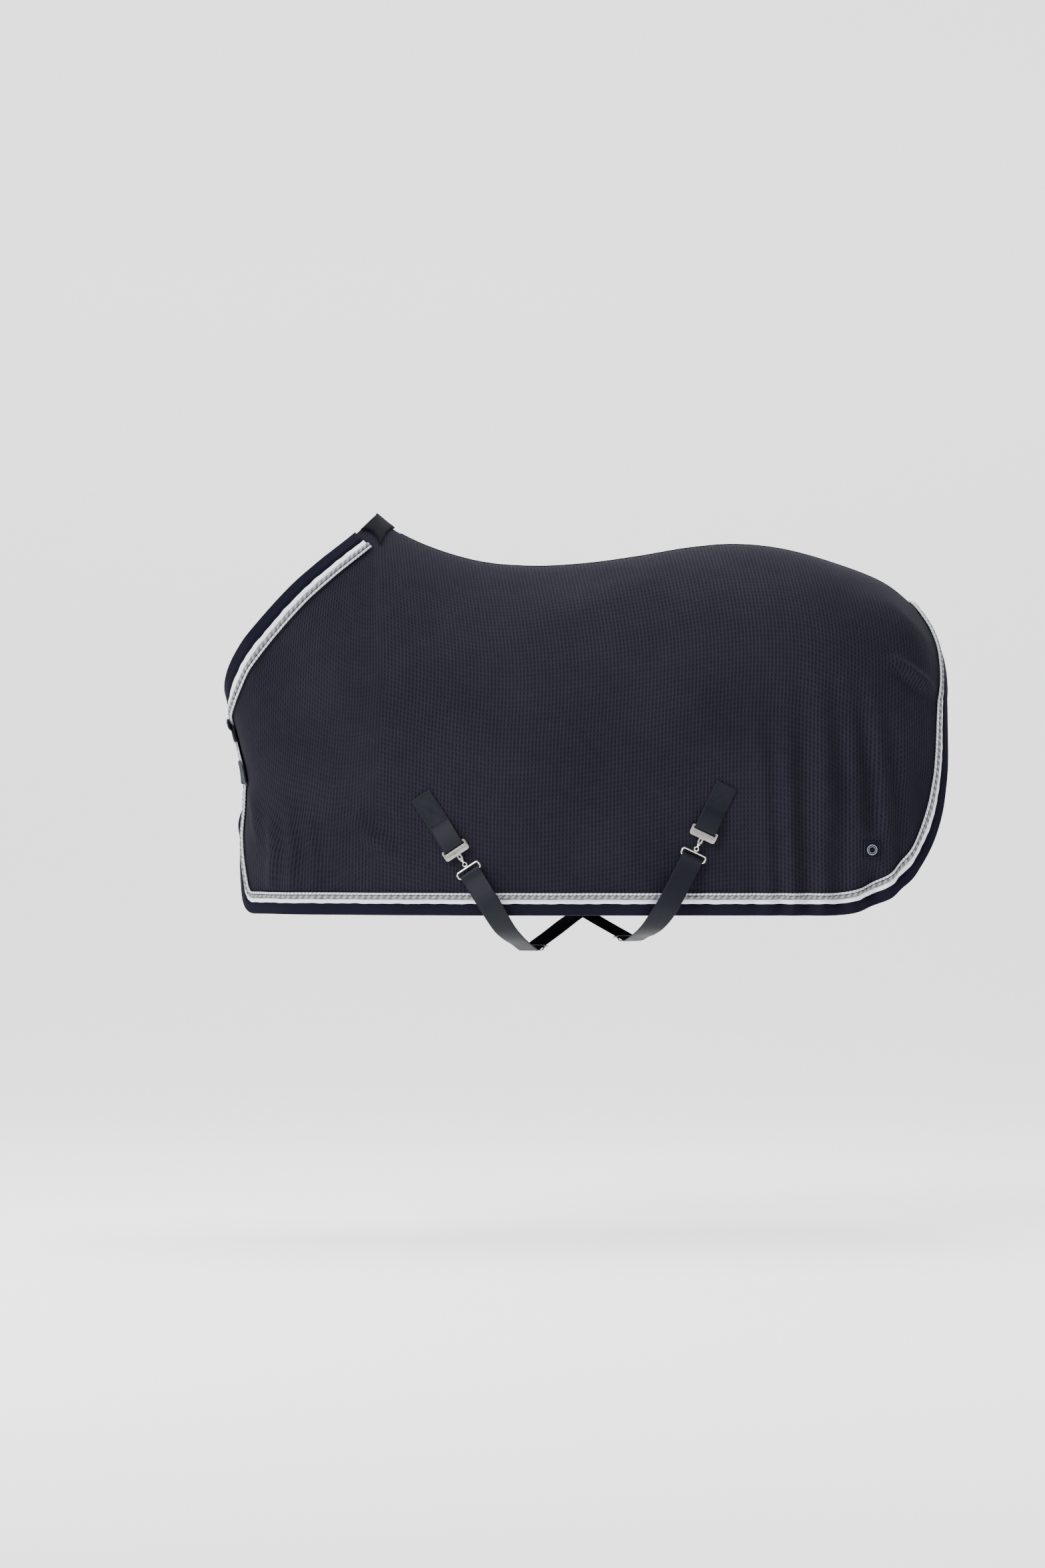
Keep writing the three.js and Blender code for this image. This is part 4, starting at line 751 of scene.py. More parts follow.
def chest_pieces():
    """Two straps that wrap the chest, the anchors on the off side, hook pads, loop strip, label and tag."""
    hinge = CHEST_END - 8
    for k, word in enumerate(("upper", "lower")):
        z, body = CHEST_TOP - k * CHEST_PITCH, f"{word}_chest"
        ride(chest_sheet(f"{word} chest strap", z, CHEST_STRAP, -CHEST_END, hinge, strap_lift, WEB_THICK, 76, 15, 7.0),
             body, "slate_webbing", f"{word}_chest_strap")
        ride(chest_sheet(f"{word} chest strap anchor", z - 4, CHEST_STRAP - 14, hinge + 3, hinge + 46,
                         lambda a, q: TRIM_GAP + 0 * a, WEB_THICK, 24, 11), "rug", "slate_webbing", f"{word}_chest_anchor")
        pad_z = z - CHEST_STRAP / 2 + 13 + 1
        ride(chest_sheet(f"{word} hook pad", pad_z, 22, -LOOP_TO, -TRIMS_END - 11,
                         lambda a, q: TRIM_GAP + PAD + LAYER + 0 * a, PAD, 10, 9), body, "hook_pile", f"{word}_hook_pad")
        rows = []
        for side_z in (-1, 1):
            a = np.linspace(-CHEST_END + 6, hinge - 5, 60)[:, None]
            zs = z + side_z * (CHEST_STRAP / 2 - 4) + 0 * a
            rows.append((chest_grid(zs, a, strap_lift(a, zs) + WEB_THICK + 0.1)[:, 0], np.array([-1.0, 0, 0])))
        for end in (-CHEST_END + 6, -CHEST_END + 34, hinge - 5):
            zs = z + np.linspace(-1, 1, 14)[:, None] * (CHEST_STRAP / 2 - 4)
            a = end + 0 * zs
            rows.append((chest_grid(zs, a, strap_lift(a, zs) + WEB_THICK + 0.1)[:, 0], np.array([-0.7, -0.7 * np.sign(-end), 0])))
        ride(stitches(f"{word} chest strap stitching", rows, 3.0, 1.3, 0.42), body, "slate_webbing")
    zs = np.linspace(NECK_TRIMS_Z - 3, CHEST_TOP - CHEST_PITCH - CHEST_STRAP / 2 - 4, 40)[:, None]
    a = np.linspace(-LOOP_TO - 2, -LOOP_FROM, 9)[None]
    zs, a = zs + 0 * a, a + 0 * zs
    grid = [chest_grid(zs, a, TRIM_GAP + h + 0 * a) for h in (PAD, 0)]
    ride(quilt("chest loop strip", *grid), "rug", "slate_webbing", "chest_loop_strip")
    ride(chest_sheet("plain woven label", CHEST_TOP, CHEST_STRAP - 12, -CHEST_END + 3, -CHEST_END + 28,
                     lambda q, z: strap_lift(q, z) + WEB_THICK + LAYER + 0.4, 0.8, 12, 13), "upper_chest", "webbing", "woven_label")
    ride(chest_sheet("red tag", CHEST_TOP - CHEST_STRAP / 2 - 8, 15, -CHEST_END + 4, -CHEST_END + 16,
                     lambda q, z: strap_lift(q, z) + LAYER, 1.0, 8, 8), "upper_chest", "red_ribbon", "red_tag")


# ---- webbing of the surcingles ----
def tab_piece(word):
    """Webbing sewn down at its top, run round the clip's bar and stitched back on itself, with a boxed cross."""
    bar, length = BARS[word], TAB_LENGTH[word]
    rise = WEB_THICK / 2 - BAR_LIFT
    angle = np.pi / 2 - np.linspace(0, np.pi, 7)
    path = np.array([(-length, rise), (-HEM_LOOP - 22, rise), (-HEM_LOOP - 4, 0), (-14, LOOP)]
                    + list(zip(LOOP * np.cos(angle), LOOP * np.sin(angle))) + [(-HEM_LOOP + 2, -LOOP)])
    dense = resample(place(bar, path[:, 0], 0, path[:, 1]), 1.6)
    piece = loft(f"{word} sewn tab", web_rings(dense, np.broadcast_to(bar[2], dense.shape)))
    ride(piece, "rug", "webbing", f"{word}_tab")
    lift = rise + WEB_THICK / 2 + 0.15
    a0, a1, c = -length + 5, -HEM_LOOP - 30, WEBBING / 2 - 5
    corner = [(a0, -c), (a0, c), (a1, c), (a1, -c), (a0, -c)]
    rows = [(place(bar, [a, a2], [b, b2], lift), bar[3]) for (a, b), (a2, b2) in zip(corner, corner[1:])]
    rows += [(place(bar, [a0, a1], [-c, c], lift), bar[3]), (place(bar, [a0, a1], [c, -c], lift), bar[3])]
    end = (-20.0, LOOP * 0.9) if word == "front" else (-18.0, LOOP * 0.92)
    rows += [(place(bar, [end[0], end[0]], [-c, c], end[1] + WEB_THICK / 2 - 0.5), bar[3])]
    ride(stitches(f"{word} tab stitching", rows, 3.4, 1.4, 0.5), "rug", "webbing")
    x, z = [(84, -612), (774, -588)][word == "rear"]
    sx, sz = [(0.5447, -0.8387), (-0.4305, -0.9026)][word == "rear"]
    turn = np.arctan2(sx, -sz)
    p, q = np.meshgrid(np.linspace(-33, 33, 16), np.linspace(42, -42, 20), indexing="ij")
    u, v = locate(x + sx * 34 + p * np.cos(turn) - q * np.sin(turn), z + sz * 34 + p * np.sin(turn) + q * np.cos(turn), -1)
    low = -FLEECE - TRIM_GAP
    ride(quilt(f"{word} tab backing", lifted(u, v, -1, low), lifted(u, v, -1, low - 1)), "rug", "binding", f"{word}_tab_backing")


def strap_piece(word):
    """The near length: looped round the bail's lower bar, hanging in a curve and turning under the belly."""
    bar = BARS[word]
    radius = BAIL_WIRE * np.sqrt(0.5) + PLAY + WEB_THICK / 2
    low, middle = np.array(LOW[word], float), np.array(CROSS[word], float)
    run = unit(middle - low)
    level = unit(np.array([run[1], -run[0], 0]))
    flat_way = bar[2] * np.sign(bar[2] @ level)
    angle = np.pi / 2 + np.linspace(1, 0, 7) * np.pi
    hook = np.vstack([place(bar, LOWER_BAR + HEM_LOOP - 8, 0, -radius + 1)[None],
                      place(bar, LOWER_BAR + radius * np.cos(angle), 0, radius * np.sin(angle))])
    down = catmull(np.vstack([place(bar, LOWER_BAR + 14, 0, radius)[None], BEND[word], (low - run * END_GAP)[None]]),
                   np.linspace(0, 1, 10))
    share = np.clip((np.arange(10) - 3) / 5, 0, 1)[:, None]
    width = np.vstack([np.repeat(flat_way[None], len(hook), 0), unit(flat_way * (1 - share) + level * share)])
    path, width = resample(np.vstack([hook, down]), 1.8, width)
    width = smooth_rows(width, 4)
    piece = loft(f"{word} near strap", web_rings(path, width))
    ride(piece, f"{word}_loose_strap", "webbing", f"{word}_strap")
    c = WEBBING / 2 - 5
    out = bar[3]
    rows = [(place(bar, [LOWER_BAR + a] * 2, [-c, c], radius + WEB_THICK / 2 + 0.1 - 0.02 * a), out) for a in (13.0, 26.0)]
    ride(stitches(f"{word} strap stitching", rows, 3.4, 1.4, 0.5), f"{word}_loose_strap", "webbing")
    return run, level, low


def belly_piece(word):
    """The length under the belly: straight through the adjuster, over the middle and up inside the off side."""
    sewn = ANCHORS[word]
    low, middle = np.array(LOW[word], float), np.array(CROSS[word], float)
    run = unit(middle - low)
    level = unit(np.array([run[1], -run[0], 0]))
    depth = -1.2 - WEB_THICK / 2
    points = np.vstack([low, low + run * SLIDE_RUN, middle, FAR[word], place(sewn, ANCHOR_LENGTH + 36, 0, depth - 9),
                        place(sewn, ANCHOR_LENGTH, 0, depth - 0.6), place(sewn, 0, 0, depth - 0.6)])
    upright = sewn[2] * np.sign(sewn[2] @ level)
    t = np.linspace(0, 1, 19)
    share = np.clip((np.arange(19) - 9) / 4, 0, 1)[:, None]
    path, width = resample(catmull(points, t), 3.0, level * (1 - share) + upright * share)
    piece = loft(f"{word} belly strap", web_rings(path, smooth_rows(width, 6)))
    ride(piece, "rug", "webbing", f"{word}_belly_strap")
    p, q = np.meshgrid(np.linspace(-7, ANCHOR_LENGTH - 7, 12), np.linspace(-WEBBING / 2 - 7, WEBBING / 2 + 7, 12), indexing="ij")
    ride(quilt(f"{word} strap anchor", place(sewn, p, q, 1.5), place(sewn, p, q, 0)), "rug", "binding", f"{word}_strap_anchor")


# ---- metal ----
def rounded(a0, a1, c0, c1, radius, steps=8):
    out = []
    for a, c, quarter in ((a1, c1, 0), (a0, c1, 1), (a0, c0, 2), (a1, c0, 3)):
        turn = (quarter + np.linspace(0, 1, steps + 1)) * np.pi / 2
        ca, cc = a + (radius if a == a0 else -radius), c + (radius if c == c0 else -radius)
        out.append(np.stack([ca + radius * np.cos(turn), cc + radius * np.sin(turn)], 1))
    return np.vstack(out)


def plate_mesh(name, f, outer, holes, thick, bevel):
    """A flat plate with rounded edges: a filled 2-D curve with its holes, extruded and bevelled, set in a frame."""
    curve = bpy.data.curves.new(name, "CURVE")
    curve.dimensions, curve.fill_mode = "2D", "BOTH"
    curve.extrude, curve.bevel_depth, curve.bevel_resolution = (thick / 2 - bevel) * 0.001, bevel * 0.001, 3
    curve.offset = -bevel * 0.001
    for ring in [outer] + holes:
        spline = curve.splines.new("POLY")
        spline.points.add(len(ring) - 1)
        co = np.concatenate([np.asarray(ring) * 0.001, np.zeros((len(ring), 1)), np.ones((len(ring), 1))], 1)
        spline.points.foreach_set("co", co.ravel())
        spline.use_cyclic_u = True
    temp = bpy.data.objects.new(name, curve)
    bpy.context.scene.collection.objects.link(temp)
    mesh = bpy.data.meshes.new_from_object(temp.evaluated_get(bpy.context.evaluated_depsgraph_get()))
    co = np.zeros(len(mesh.vertices) * 3)
    mesh.vertices.foreach_get("co", co)
    co = co.reshape(-1, 3) * 1000
    faces = [list(p.vertices) for p in mesh.polygons]
    bpy.data.objects.remove(temp)
    bpy.data.curves.remove(curve)
    bpy.data.meshes.remove(mesh)
    made = finish_mesh(name, place(f, co[:, 0], co[:, 1], co[:, 2]), faces, merge=0.005)
    made.data.set_sharp_from_angle(angle=0.7)
    return made


def clip_pieces(word):
    """Clip plate with its bar slot, raised rim and prongs; swivel hook; wire bail, all in the strap's frame."""
    bar = BARS[word]
    w, neck = PLATE_WIDTH / 2, PRONG * 1.5
    top = rounded(-BAR / 2, LIP, -w, w, 3.5)
    outer = [p for p in top if p[0] < LIP / 2]
    outer = np.array(outer)
    left = outer[outer[:, 1] < 0]
    right = outer[outer[:, 1] > 0]
    arc = np.linspace(0, np.pi / 2, 8)
    lower_left = np.stack([LIP - 6 + 6 * np.sin(arc), -w + 6 - 6 * np.cos(arc)], 1)
    prongs = np.array([(LIP, -neck), (FOOT + PRONG - 1.5, -neck), (FOOT + PRONG, -neck + 1.5),
                       (FOOT + PRONG, neck - 1.5), (FOOT + PRONG - 1.5, neck), (LIP, neck)])
    lower_right = lower_left[::-1] * [1, -1]
    right = right[np.argsort(np.arange(len(right)))]
    start_right = right[np.argsort(-right[:, 0])]
    ordered = np.vstack([start_right, left[np.argsort(left[:, 0])], lower_left, prongs, lower_right])
    slot = rounded(BAR / 2, PLATE_DROP, -w + ARM, w - ARM, 1.2, 4)
    gap = rounded(LIP + 1, FOOT, -PRONG / 2, PRONG / 2, 1.2, 4)
    piece = plate_mesh(f"{word} clip plate", bar, ordered, [slot[::-1], gap[::-1]], BAR, 0.7)
    ride(piece, f"{word}_clip", "nickel", f"{word}_clip_plate")
    a0, a1, c = PLATE_DROP + 3.0, LIP - 3.0, w - 4.5
    rim = rounded(a0, a1, -c, c, 2.5)
    path = place(bar, rim[:, 0], rim[:, 1], BAR / 2 - 0.25)
    raised = [wire_rings(path, 0.65, 8, np.broadcast_to(bar[3], path.shape), True)]
    ride(lofts(f"{word} clip rim", raised, True), f"{word}_clip", "nickel")

    r, e = SWIVEL / 2, EYE / 2
    end = HOOK_START + SWIVEL_LENGTH
    a = np.array([0, 0.3, 0.7, 1.2, 2.6, 3.2, 3.5, 3.9, 4.3, 5.2, 6.0, 6.6, 7.2, 8.2]) + HOOK_START
    rad = np.array([0.55, 0.72, 0.86, 0.95, 0.98, 0.93, 0.8, 0.62, 0.56, 0.52, 0.54, 0.6, 0.62, 0.5]) * r
    turn = np.linspace(0, 2 * np.pi, 28, endpoint=False)
    barrel = place(bar, a[:, None] + 0 * turn[None], rad[:, None] * np.cos(turn)[None], rad[:, None] * np.sin(turn)[None])
    t = np.linspace(0, 2 * np.pi, 48, endpoint=False)
    wire = EYE_WIRE / 2 * 0.92
    ring = place(bar, end + e - (e - wire) * np.cos(t), (e - wire) * 0.98 * np.sin(t), 0 * t)
    eye = wire_rings(ring, wire * (1 - 0.12 * np.cos(t)), 14, np.broadcast_to(bar[3], ring.shape), True)
    body = lofts(f"{word} swivel hook", [barrel])
    ride(body, f"{word}_hook", "bright_nickel", f"{word}_swivel_hook")
    ride(lofts(f"{word} swivel eye", [eye], True), f"{word}_hook", "bright_nickel")

    b, half = BAIL_WIDTH / 2, BAIL_WIRE / 2
    shape = rounded(BAIL_TOP + half, BAIL_TOP + BAIL_HEIGHT - half, -b + half, b - half, 5.0, 10)
    path = place(bar, shape[:, 0], shape[:, 1], 0)
    dense = resample(np.vstack([path, path[:1]]), 1.6)[:-1]
    bail = wire_rings(dense, half, 14, np.broadcast_to(bar[3], dense.shape), True)
    ride(lofts(f"{word} bail", [bail], True), f"{word}_bail_body", "bright_nickel", f"{word}_bail")


def slide_piece(word):
    """Slide adjuster: a closed ring that rises over the webbing at both ends, and a middle bar under it."""
    low, middle = np.array(LOW[word], float), np.array(CROSS[word], float)
    run = unit(middle - low)
    level = unit(np.array([run[1], -run[0], 0]))
    f = local(low + run * (4 + SLIDE_LENGTH / 2), run, level, np.cross(run, level))
    half, clear = SLIDE_WIRE / 2, WEB_THICK / 2 + PLAY + SLIDE_WIRE / 2
    shape = rounded(-SLIDE_LENGTH / 2 + half, SLIDE_LENGTH / 2 - half, -SLIDE_WIDTH / 2 + half, SLIDE_WIDTH / 2 - half, 3.0, 8)
    height = clear * np.clip((np.abs(shape[:, 0]) - 4) / (SLIDE_LENGTH / 2 - half - 6), 0, 1)
    loop = np.column_stack([shape, height])
    loop = resample(np.vstack([loop, loop[:1]]), 1.8)[:-1]
    height = clear * np.clip((np.abs(loop[:, 0]) - 5) / 7, 0, 1) ** 1.5
    path = place(f, loop[:, 0], loop[:, 1], height)
    ring = wire_rings(path, half, 12, np.broadcast_to(f[3], path.shape), True)
    c = SLIDE_WIDTH / 2 - half
    staple = np.array([(0, -c, 0), (0, -c, -clear * 0.7), (0, -c + 2, -clear), (0, -c / 2, -clear), (0, c / 2, -clear),
                       (0, c - 2, -clear), (0, c, -clear * 0.7), (0, c, 0)], float)
    bend = resample(staple, 1.6)
    path = place(f, bend[:, 0], bend[:, 1], bend[:, 2])
    bar = wire_rings(path, half * 0.95, 12, np.broadcast_to(f[1], path.shape))
    ride(lofts(f"{word} slide adjuster", [ring], True), f"{word}_slide_body", "nickel", f"{word}_slide")
    ride(lofts(f"{word} adjuster bar", [bar]), f"{word}_slide_body", "nickel")


def badge_pieces():
    """A small dark patch with a pale embroidered ring and a stitched border."""
    p, q = np.meshgrid(np.linspace(-19, 19, 24), np.linspace(20, -20, 24), indexing="ij")
    u, v = locate(1101 + p, -735 + q, -1)
    edge = np.minimum(1, (1 - np.maximum(np.abs(p) / 19, np.abs(q) / 20)) * 9)
    ride(quilt("quarter badge", lifted(u, v, -1, TRIM_GAP + 0.6 + 0.7 * edge), lifted(u, v, -1, TRIM_GAP + 0 * edge)),
         "rug", "binding", "quarter_badge")
    t = np.linspace(0, 2 * np.pi, 72, endpoint=False)
    rings = []
    for radius, wire in ((11.0, 1.1), (7.4, 0.7)):
        path = place(BADGE_FRAME, 12 + radius * np.cos(t), radius * np.sin(t), 0.55 + 0 * t)
        rings.append(wire_rings(path, wire * (0.85 + 0.15 * np.abs(np.sin(18 * t))), 8, np.broadcast_to(BADGE_FRAME[3], path.shape), True))
    ride(lofts("badge ring", rings[:1], True), "rug", "badge_thread", "badge_ring")
    ride(lofts("badge inner ring", rings[1:], True), "rug", "badge_thread")
    corner = [(-17, -18), (17, -18), (17, 18), (-17, 18), (-17, -18)]
    rows = []
    for (a, b), (c, d) in zip(corner, corner[1:]):
        x, z = np.linspace(a, c, 10), np.linspace(b, d, 10)
        uu, vv = locate(1101 + x, -735 + z, -1)
        rows.append((lifted(uu, vv, -1, TRIM_GAP + 1.3), np.array([0.2, -1, 0])))
    ride(stitches("badge stitching", rows, 2.6, 0.9, 0.4), "rug", "slate_webbing")


# ---- materials ----
MATERIALS = {}


class Nodes:
    """Short calls for a material's node tree."""

    def __init__(self, name):
        self.material = bpy.data.materials.new(name)
        self.material.use_nodes = True
        self.tree = self.material.node_tree
        self.shader = self.tree.nodes["Principled BSDF"]

    def add(self, kind, settings=(), **inputs):
        node = self.tree.nodes.new(kind)
        for key, value in dict(settings).items():
            setattr(node, key, value)
        for key, value in inputs.items():
            socket = node.inputs[int(key[1:])] if key[0] == "i" and key[1:].isdigit() else node.inputs[key.replace("_", " ")]
            self.put(socket, value)
        return node

    def put(self, socket, value):
        if isinstance(value, bpy.types.NodeSocket):
            self.tree.links.new(value, socket)
        else:
            socket.default_value = value

    def math(self, operation, a, b=0.0, c=0.0):
        return self.add("ShaderNodeMath", {"operation": operation}, i0=a, i1=b, i2=c).outputs[0]

    def uv(self):
        split = self.add("ShaderNodeSeparateXYZ", Vector=self.add("ShaderNodeUVMap").outputs[0])
        return split.outputs[0], split.outputs[1]

    def place(self):
        return self.add("ShaderNodeTexCoord").outputs["Object"]

    def noise(self, vector, scale, detail=3.0, roughness=0.6):
        return self.add("ShaderNodeTexNoise", Vector=vector, Scale=scale, Detail=detail, Roughness=roughness).outputs[0]

    def mix(self, share, a, b):
        node = self.add("ShaderNodeMix", {"data_type": "RGBA"})
        self.put(node.inputs[0], share)
        self.put(node.inputs[6], a)
        self.put(node.inputs[7], b)
        return node.outputs[2]

    def ramp(self, value, low, high, to_low=0.0, to_high=1.0):
        node = self.add("ShaderNodeMapRange")
        for key, v in (("Value", value), ("From Min", low), ("From Max", high), ("To Min", to_low), ("To Max", to_high)):
            self.put(node.inputs[key], v)
        return node.outputs[0]

    def wave(self, coordinate, pitch, power=1.0):
        """|cos| of a coordinate in metres: 1 on each rib, 0 between ribs."""
        turn = self.math("MULTIPLY", coordinate, np.pi / pitch)
        rib = self.math("ABSOLUTE", self.math("COSINE", turn))
        return self.math("POWER", rib, power)

    def bump(self, height, distance, strength=1.0, normal=None):
        node = self.add("ShaderNodeBump", Height=height, Distance=distance, Strength=strength)
        if normal is not None:
            self.put(node.inputs["Normal"], normal)
        return node.outputs[0]

    def surface(self, colour, roughness, normal=None, **scalars):
        self.put(self.shader.inputs["Base Color"], colour)
        self.put(self.shader.inputs["Roughness"], roughness)
        if normal is not None:
            self.put(self.shader.inputs["Normal"], normal)
        for key, value in scalars.items():
            self.put(self.shader.inputs[key.replace("_", " ")], value)
        return self.material


def rgb(colour, scale=1.0):
    return tuple(float(c) * scale for c in colour[:3]) + (1.0,)


def fleece_material(s):
    """Waffle cells: raised ribs both ways over sunk squares, painted shade darkening the sunk squares and the ribs
    painted lighter, a fine pile over them, and slow shade changes.
    """
    n = Nodes("waffle fleece")
    u, v = n.uv()
    where = n.place()
    wander = n.math("MULTIPLY", n.math("SUBTRACT", n.noise(where, 60.0, 2.0), 0.5), 0.0022)
    across, down = n.math("ADD", u, wander), n.math("ADD", v, wander)
    rib = n.wave(across, s.waffle_pitch, 1.6)
    cross = n.wave(down, s.waffle_pitch * 1.25, 2.4)
    cell = n.math("MAXIMUM", rib, n.math("MULTIPLY", cross, 0.62))
    pile = n.noise(where, 1700.0, 2.0, 0.7)
    slow = n.noise(where, 5.5, 4.0, 0.55)
    blotch = n.noise(where, 42.0, 3.0, 0.6)
    tone = n.math("ADD", n.math("MULTIPLY", n.ramp(slow, 0.3, 0.7), 0.6), n.math("MULTIPLY", n.ramp(blotch, 0.3, 0.7), 0.4))
    # painted shade: the sunk squares between the ribs darker, the ribs lighter
    base = n.mix(n.ramp(cell, 0.1, 0.95), rgb(s.fleece_colour, 0.5), rgb(s.fleece_colour, 1.28))
    shade = n.mix(tone, rgb((0.80, 0.80, 0.84)), rgb((1.16, 1.15, 1.12)))
    both = n.add("ShaderNodeMix", {"data_type": "RGBA", "blend_type": "MULTIPLY"})
    n.put(both.inputs[0], 1.0)
    n.put(both.inputs[6], base)
    n.put(both.inputs[7], shade)
    height = n.math("ADD", cell, n.math("MULTIPLY", pile, 0.22))
    soft = n.bump(n.noise(where, 15.0, 4.0), 0.006, 0.35)
    normal = n.bump(height, 0.0013, 0.75, soft)
    return n.surface(both.outputs[2], n.ramp(pile, 0.2, 0.8, 0.86, 1.0), normal, Sheen_Weight=0.018, Sheen_Roughness=0.4,
                     Sheen_Tint=rgb((0.80, 0.80, 0.92)), Specular_IOR_Level=0.06)


def pile_material(name, colour, sheen):
    """Short brushed pile: fine noise bump and a soft sheen."""
    n = Nodes(name)
    where = n.place()
    pile, tuft = n.noise(where, 1500.0, 2.0, 0.75), n.noise(where, 240.0, 3.0, 0.6)
    tone = n.mix(n.ramp(tuft, 0.3, 0.7), rgb(colour, 0.68), rgb(colour, 1.35))
    return n.surface(tone, 0.95, n.bump(n.math("ADD", pile, tuft), 0.0007, 0.7), Sheen_Weight=sheen, Sheen_Roughness=0.5,
                     Specular_IOR_Level=0.15)


def woven_material(name, colour, pitch, depth, roughness=0.85, sheen=0.03, twill=0.0, specular=0.25, weave_shade=0.5):
    """Woven tape or webbing: ribs along its length crossed by weft, or a slanting twill, with painted shade between the
    threads and the high threads painted lighter.
    """
    n = Nodes(name)
    u, v = n.uv()
    where = n.place()
    slant = n.math("ADD", u, n.math("MULTIPLY", v, twill))
    weft, warp = n.wave(slant, pitch, 1.2), n.wave(v, pitch * 1.6, 1.0)
    weave = n.math("MULTIPLY", n.math("ADD", n.math("MULTIPLY", weft, 0.65), 0.35), n.math("ADD", n.math("MULTIPLY", warp, 0.4), 0.6))
    fuzz = n.noise(where, 2200.0, 2.0, 0.7)
    grime = n.noise(where, 26.0, 4.0, 0.6)
    # painted shade: the colour between the threads darker, varied by the grime noise; the high threads lighter
    low = n.mix(n.ramp(grime, 0.3, 0.75), rgb(colour, 1.0 - weave_shade), rgb(colour, 1.06 - weave_shade * 0.8))
    tone = n.mix(n.ramp(weave, 0.15, 0.9), low, rgb(colour, 1.0 + weave_shade * 0.5))
    height = n.math("ADD", weave, n.math("MULTIPLY", fuzz, 0.3))
    return n.surface(tone, n.ramp(fuzz, 0.2, 0.8, roughness - 0.08, min(1, roughness + 0.07)), n.bump(height, depth, 0.8),
                     Sheen_Weight=sheen, Sheen_Roughness=0.4, Specular_IOR_Level=specular)


def cord_material(name, light, dark, pitch, share):
    """Twisted cord: two strands told apart by the slanting phase of a helix, each with its own fibre."""
    n = Nodes(name)
    u, v = n.uv()
    where = n.place()
    turn = n.math("ADD", n.math("MULTIPLY", u, 2 * np.pi / pitch), n.math("MULTIPLY", v, 2 * np.pi / 0.0225))
    strand = n.ramp(n.math("SINE", turn), -0.35 + share, 0.35 + share)
    fibre = n.math("ABSOLUTE", n.math("SINE", n.math("MULTIPLY", turn, 4.0)))
    fuzz = n.noise(where, 1900.0, 2.0, 0.7)
    tone = n.mix(strand, rgb(dark), rgb(light))
    tone = n.mix(n.math("MULTIPLY", n.ramp(fuzz, 0.3, 0.75), 0.35), tone, rgb(dark, 0.8))
    height = n.math("ADD", n.math("MULTIPLY", fibre, 0.6), n.math("MULTIPLY", fuzz, 0.5))
    return n.surface(tone, 0.9, n.bump(height, 0.0005, 0.8), Sheen_Weight=0.12, Specular_IOR_Level=0.2)


def metal_material(name, colour, rough, brushed, tarnish):
    """Plated wire or plate: directional hairlines, faint wear patches and darker tarnish in the slow noise."""
    n = Nodes(name)
    where = n.place()
    stretch = n.add("ShaderNodeMapping", Vector=where, Scale=(60.0, 900.0, 60.0))
    lines = n.noise(stretch.outputs[0], 9.0, 2.0, 0.6)
    wear, spots = n.noise(where, 70.0, 4.0, 0.65), n.noise(where, 420.0, 3.0, 0.6)
    tone = n.mix(n.math("MULTIPLY", n.ramp(wear, 0.45, 0.75), tarnish), rgb(colour), rgb(colour, 0.55))
    roughness = n.math("ADD", n.ramp(wear, 0.3, 0.7, rough - 0.06, rough + 0.1), n.math("MULTIPLY", n.math("SUBTRACT", spots, 0.5), 0.12))
    normal = n.bump(n.math("ADD", n.math("MULTIPLY", lines, brushed), n.math("MULTIPLY", spots, 0.25)), 0.00018, 0.6)
    return n.surface(tone, roughness, normal, Metallic=1.0, Specular_IOR_Level=0.5)


def floor_material(colour):
    """Matt studio floor with a very faint grain."""
    n = Nodes("studio floor")
    grain = n.noise(n.place(), 40.0, 4.0, 0.6)
    tone = n.mix(grain, rgb(colour, 0.985), rgb(colour, 1.01))
    return n.surface(tone, 0.9, n.bump(grain, 0.0004, 0.2), Specular_IOR_Level=0.1, Emission_Color=rgb((1.0, 1.0, 1.0)),
                     Emission_Strength=1.05)


def build_materials(s):
    MATERIALS.update({
        "fleece": fleece_material(s),
        "dark_fleece": pile_material("dark fleece", s.patch_colour, 0.012),
        "binding": woven_material("edge binding", s.binding_colour, 0.0016, 0.0003, 0.8, 0.01, 0.0, 0.07, 0.3),
        "white_tape": woven_material("white tape", s.tape_colour, 0.0022, 0.0004, 0.88, 0.05, 0.35, 0.2, 0.22),
        "grey_cord": cord_material("grey twisted cord", s.cord_colour, (0.11, 0.11, 0.12), 0.015, 0.0),
        "white_cord": cord_material("white cord", s.tape_colour, (0.36, 0.38, 0.42), 0.009, -0.25),
        "webbing": woven_material("navy webbing", s.webbing_colour, 0.0030, 0.0006, 0.5, 0.012, 0.0, 0.16, 0.42),
        "slate_webbing": woven_material("slate webbing", s.chest_colour, 0.0026, 0.0005, 0.75, 0.015, 0.5, 0.12, 0.35),
        "hook_pile": pile_material("hook tape", (0.018, 0.018, 0.024), 0.04),
        "red_ribbon": woven_material("red ribbon", (0.42, 0.018, 0.03), 0.0012, 0.0003, 0.6, 0.2, 0.0, 0.4, 0.3),
        "badge_thread": woven_material("badge thread", (0.20, 0.22, 0.25), 0.0009, 0.0003, 0.5, 0.1, 0.6, 0.4, 0.3),
        "nickel": metal_material("satin nickel", (0.40, 0.39, 0.36), 0.32, 0.8, 0.5),
        "bright_nickel": metal_material("bright nickel", (0.78, 0.77, 0.72), 0.17, 0.2, 0.3),
        "thread": pile_material("thread", (0.02, 0.022, 0.035), 0.03),
    })


# ---- add-on layout ----
def colour_property(name, text, value):
    return bpy.props.FloatVectorProperty(name=name, description=text, default=value, size=3, min=0, max=1, subtype="COLOR")


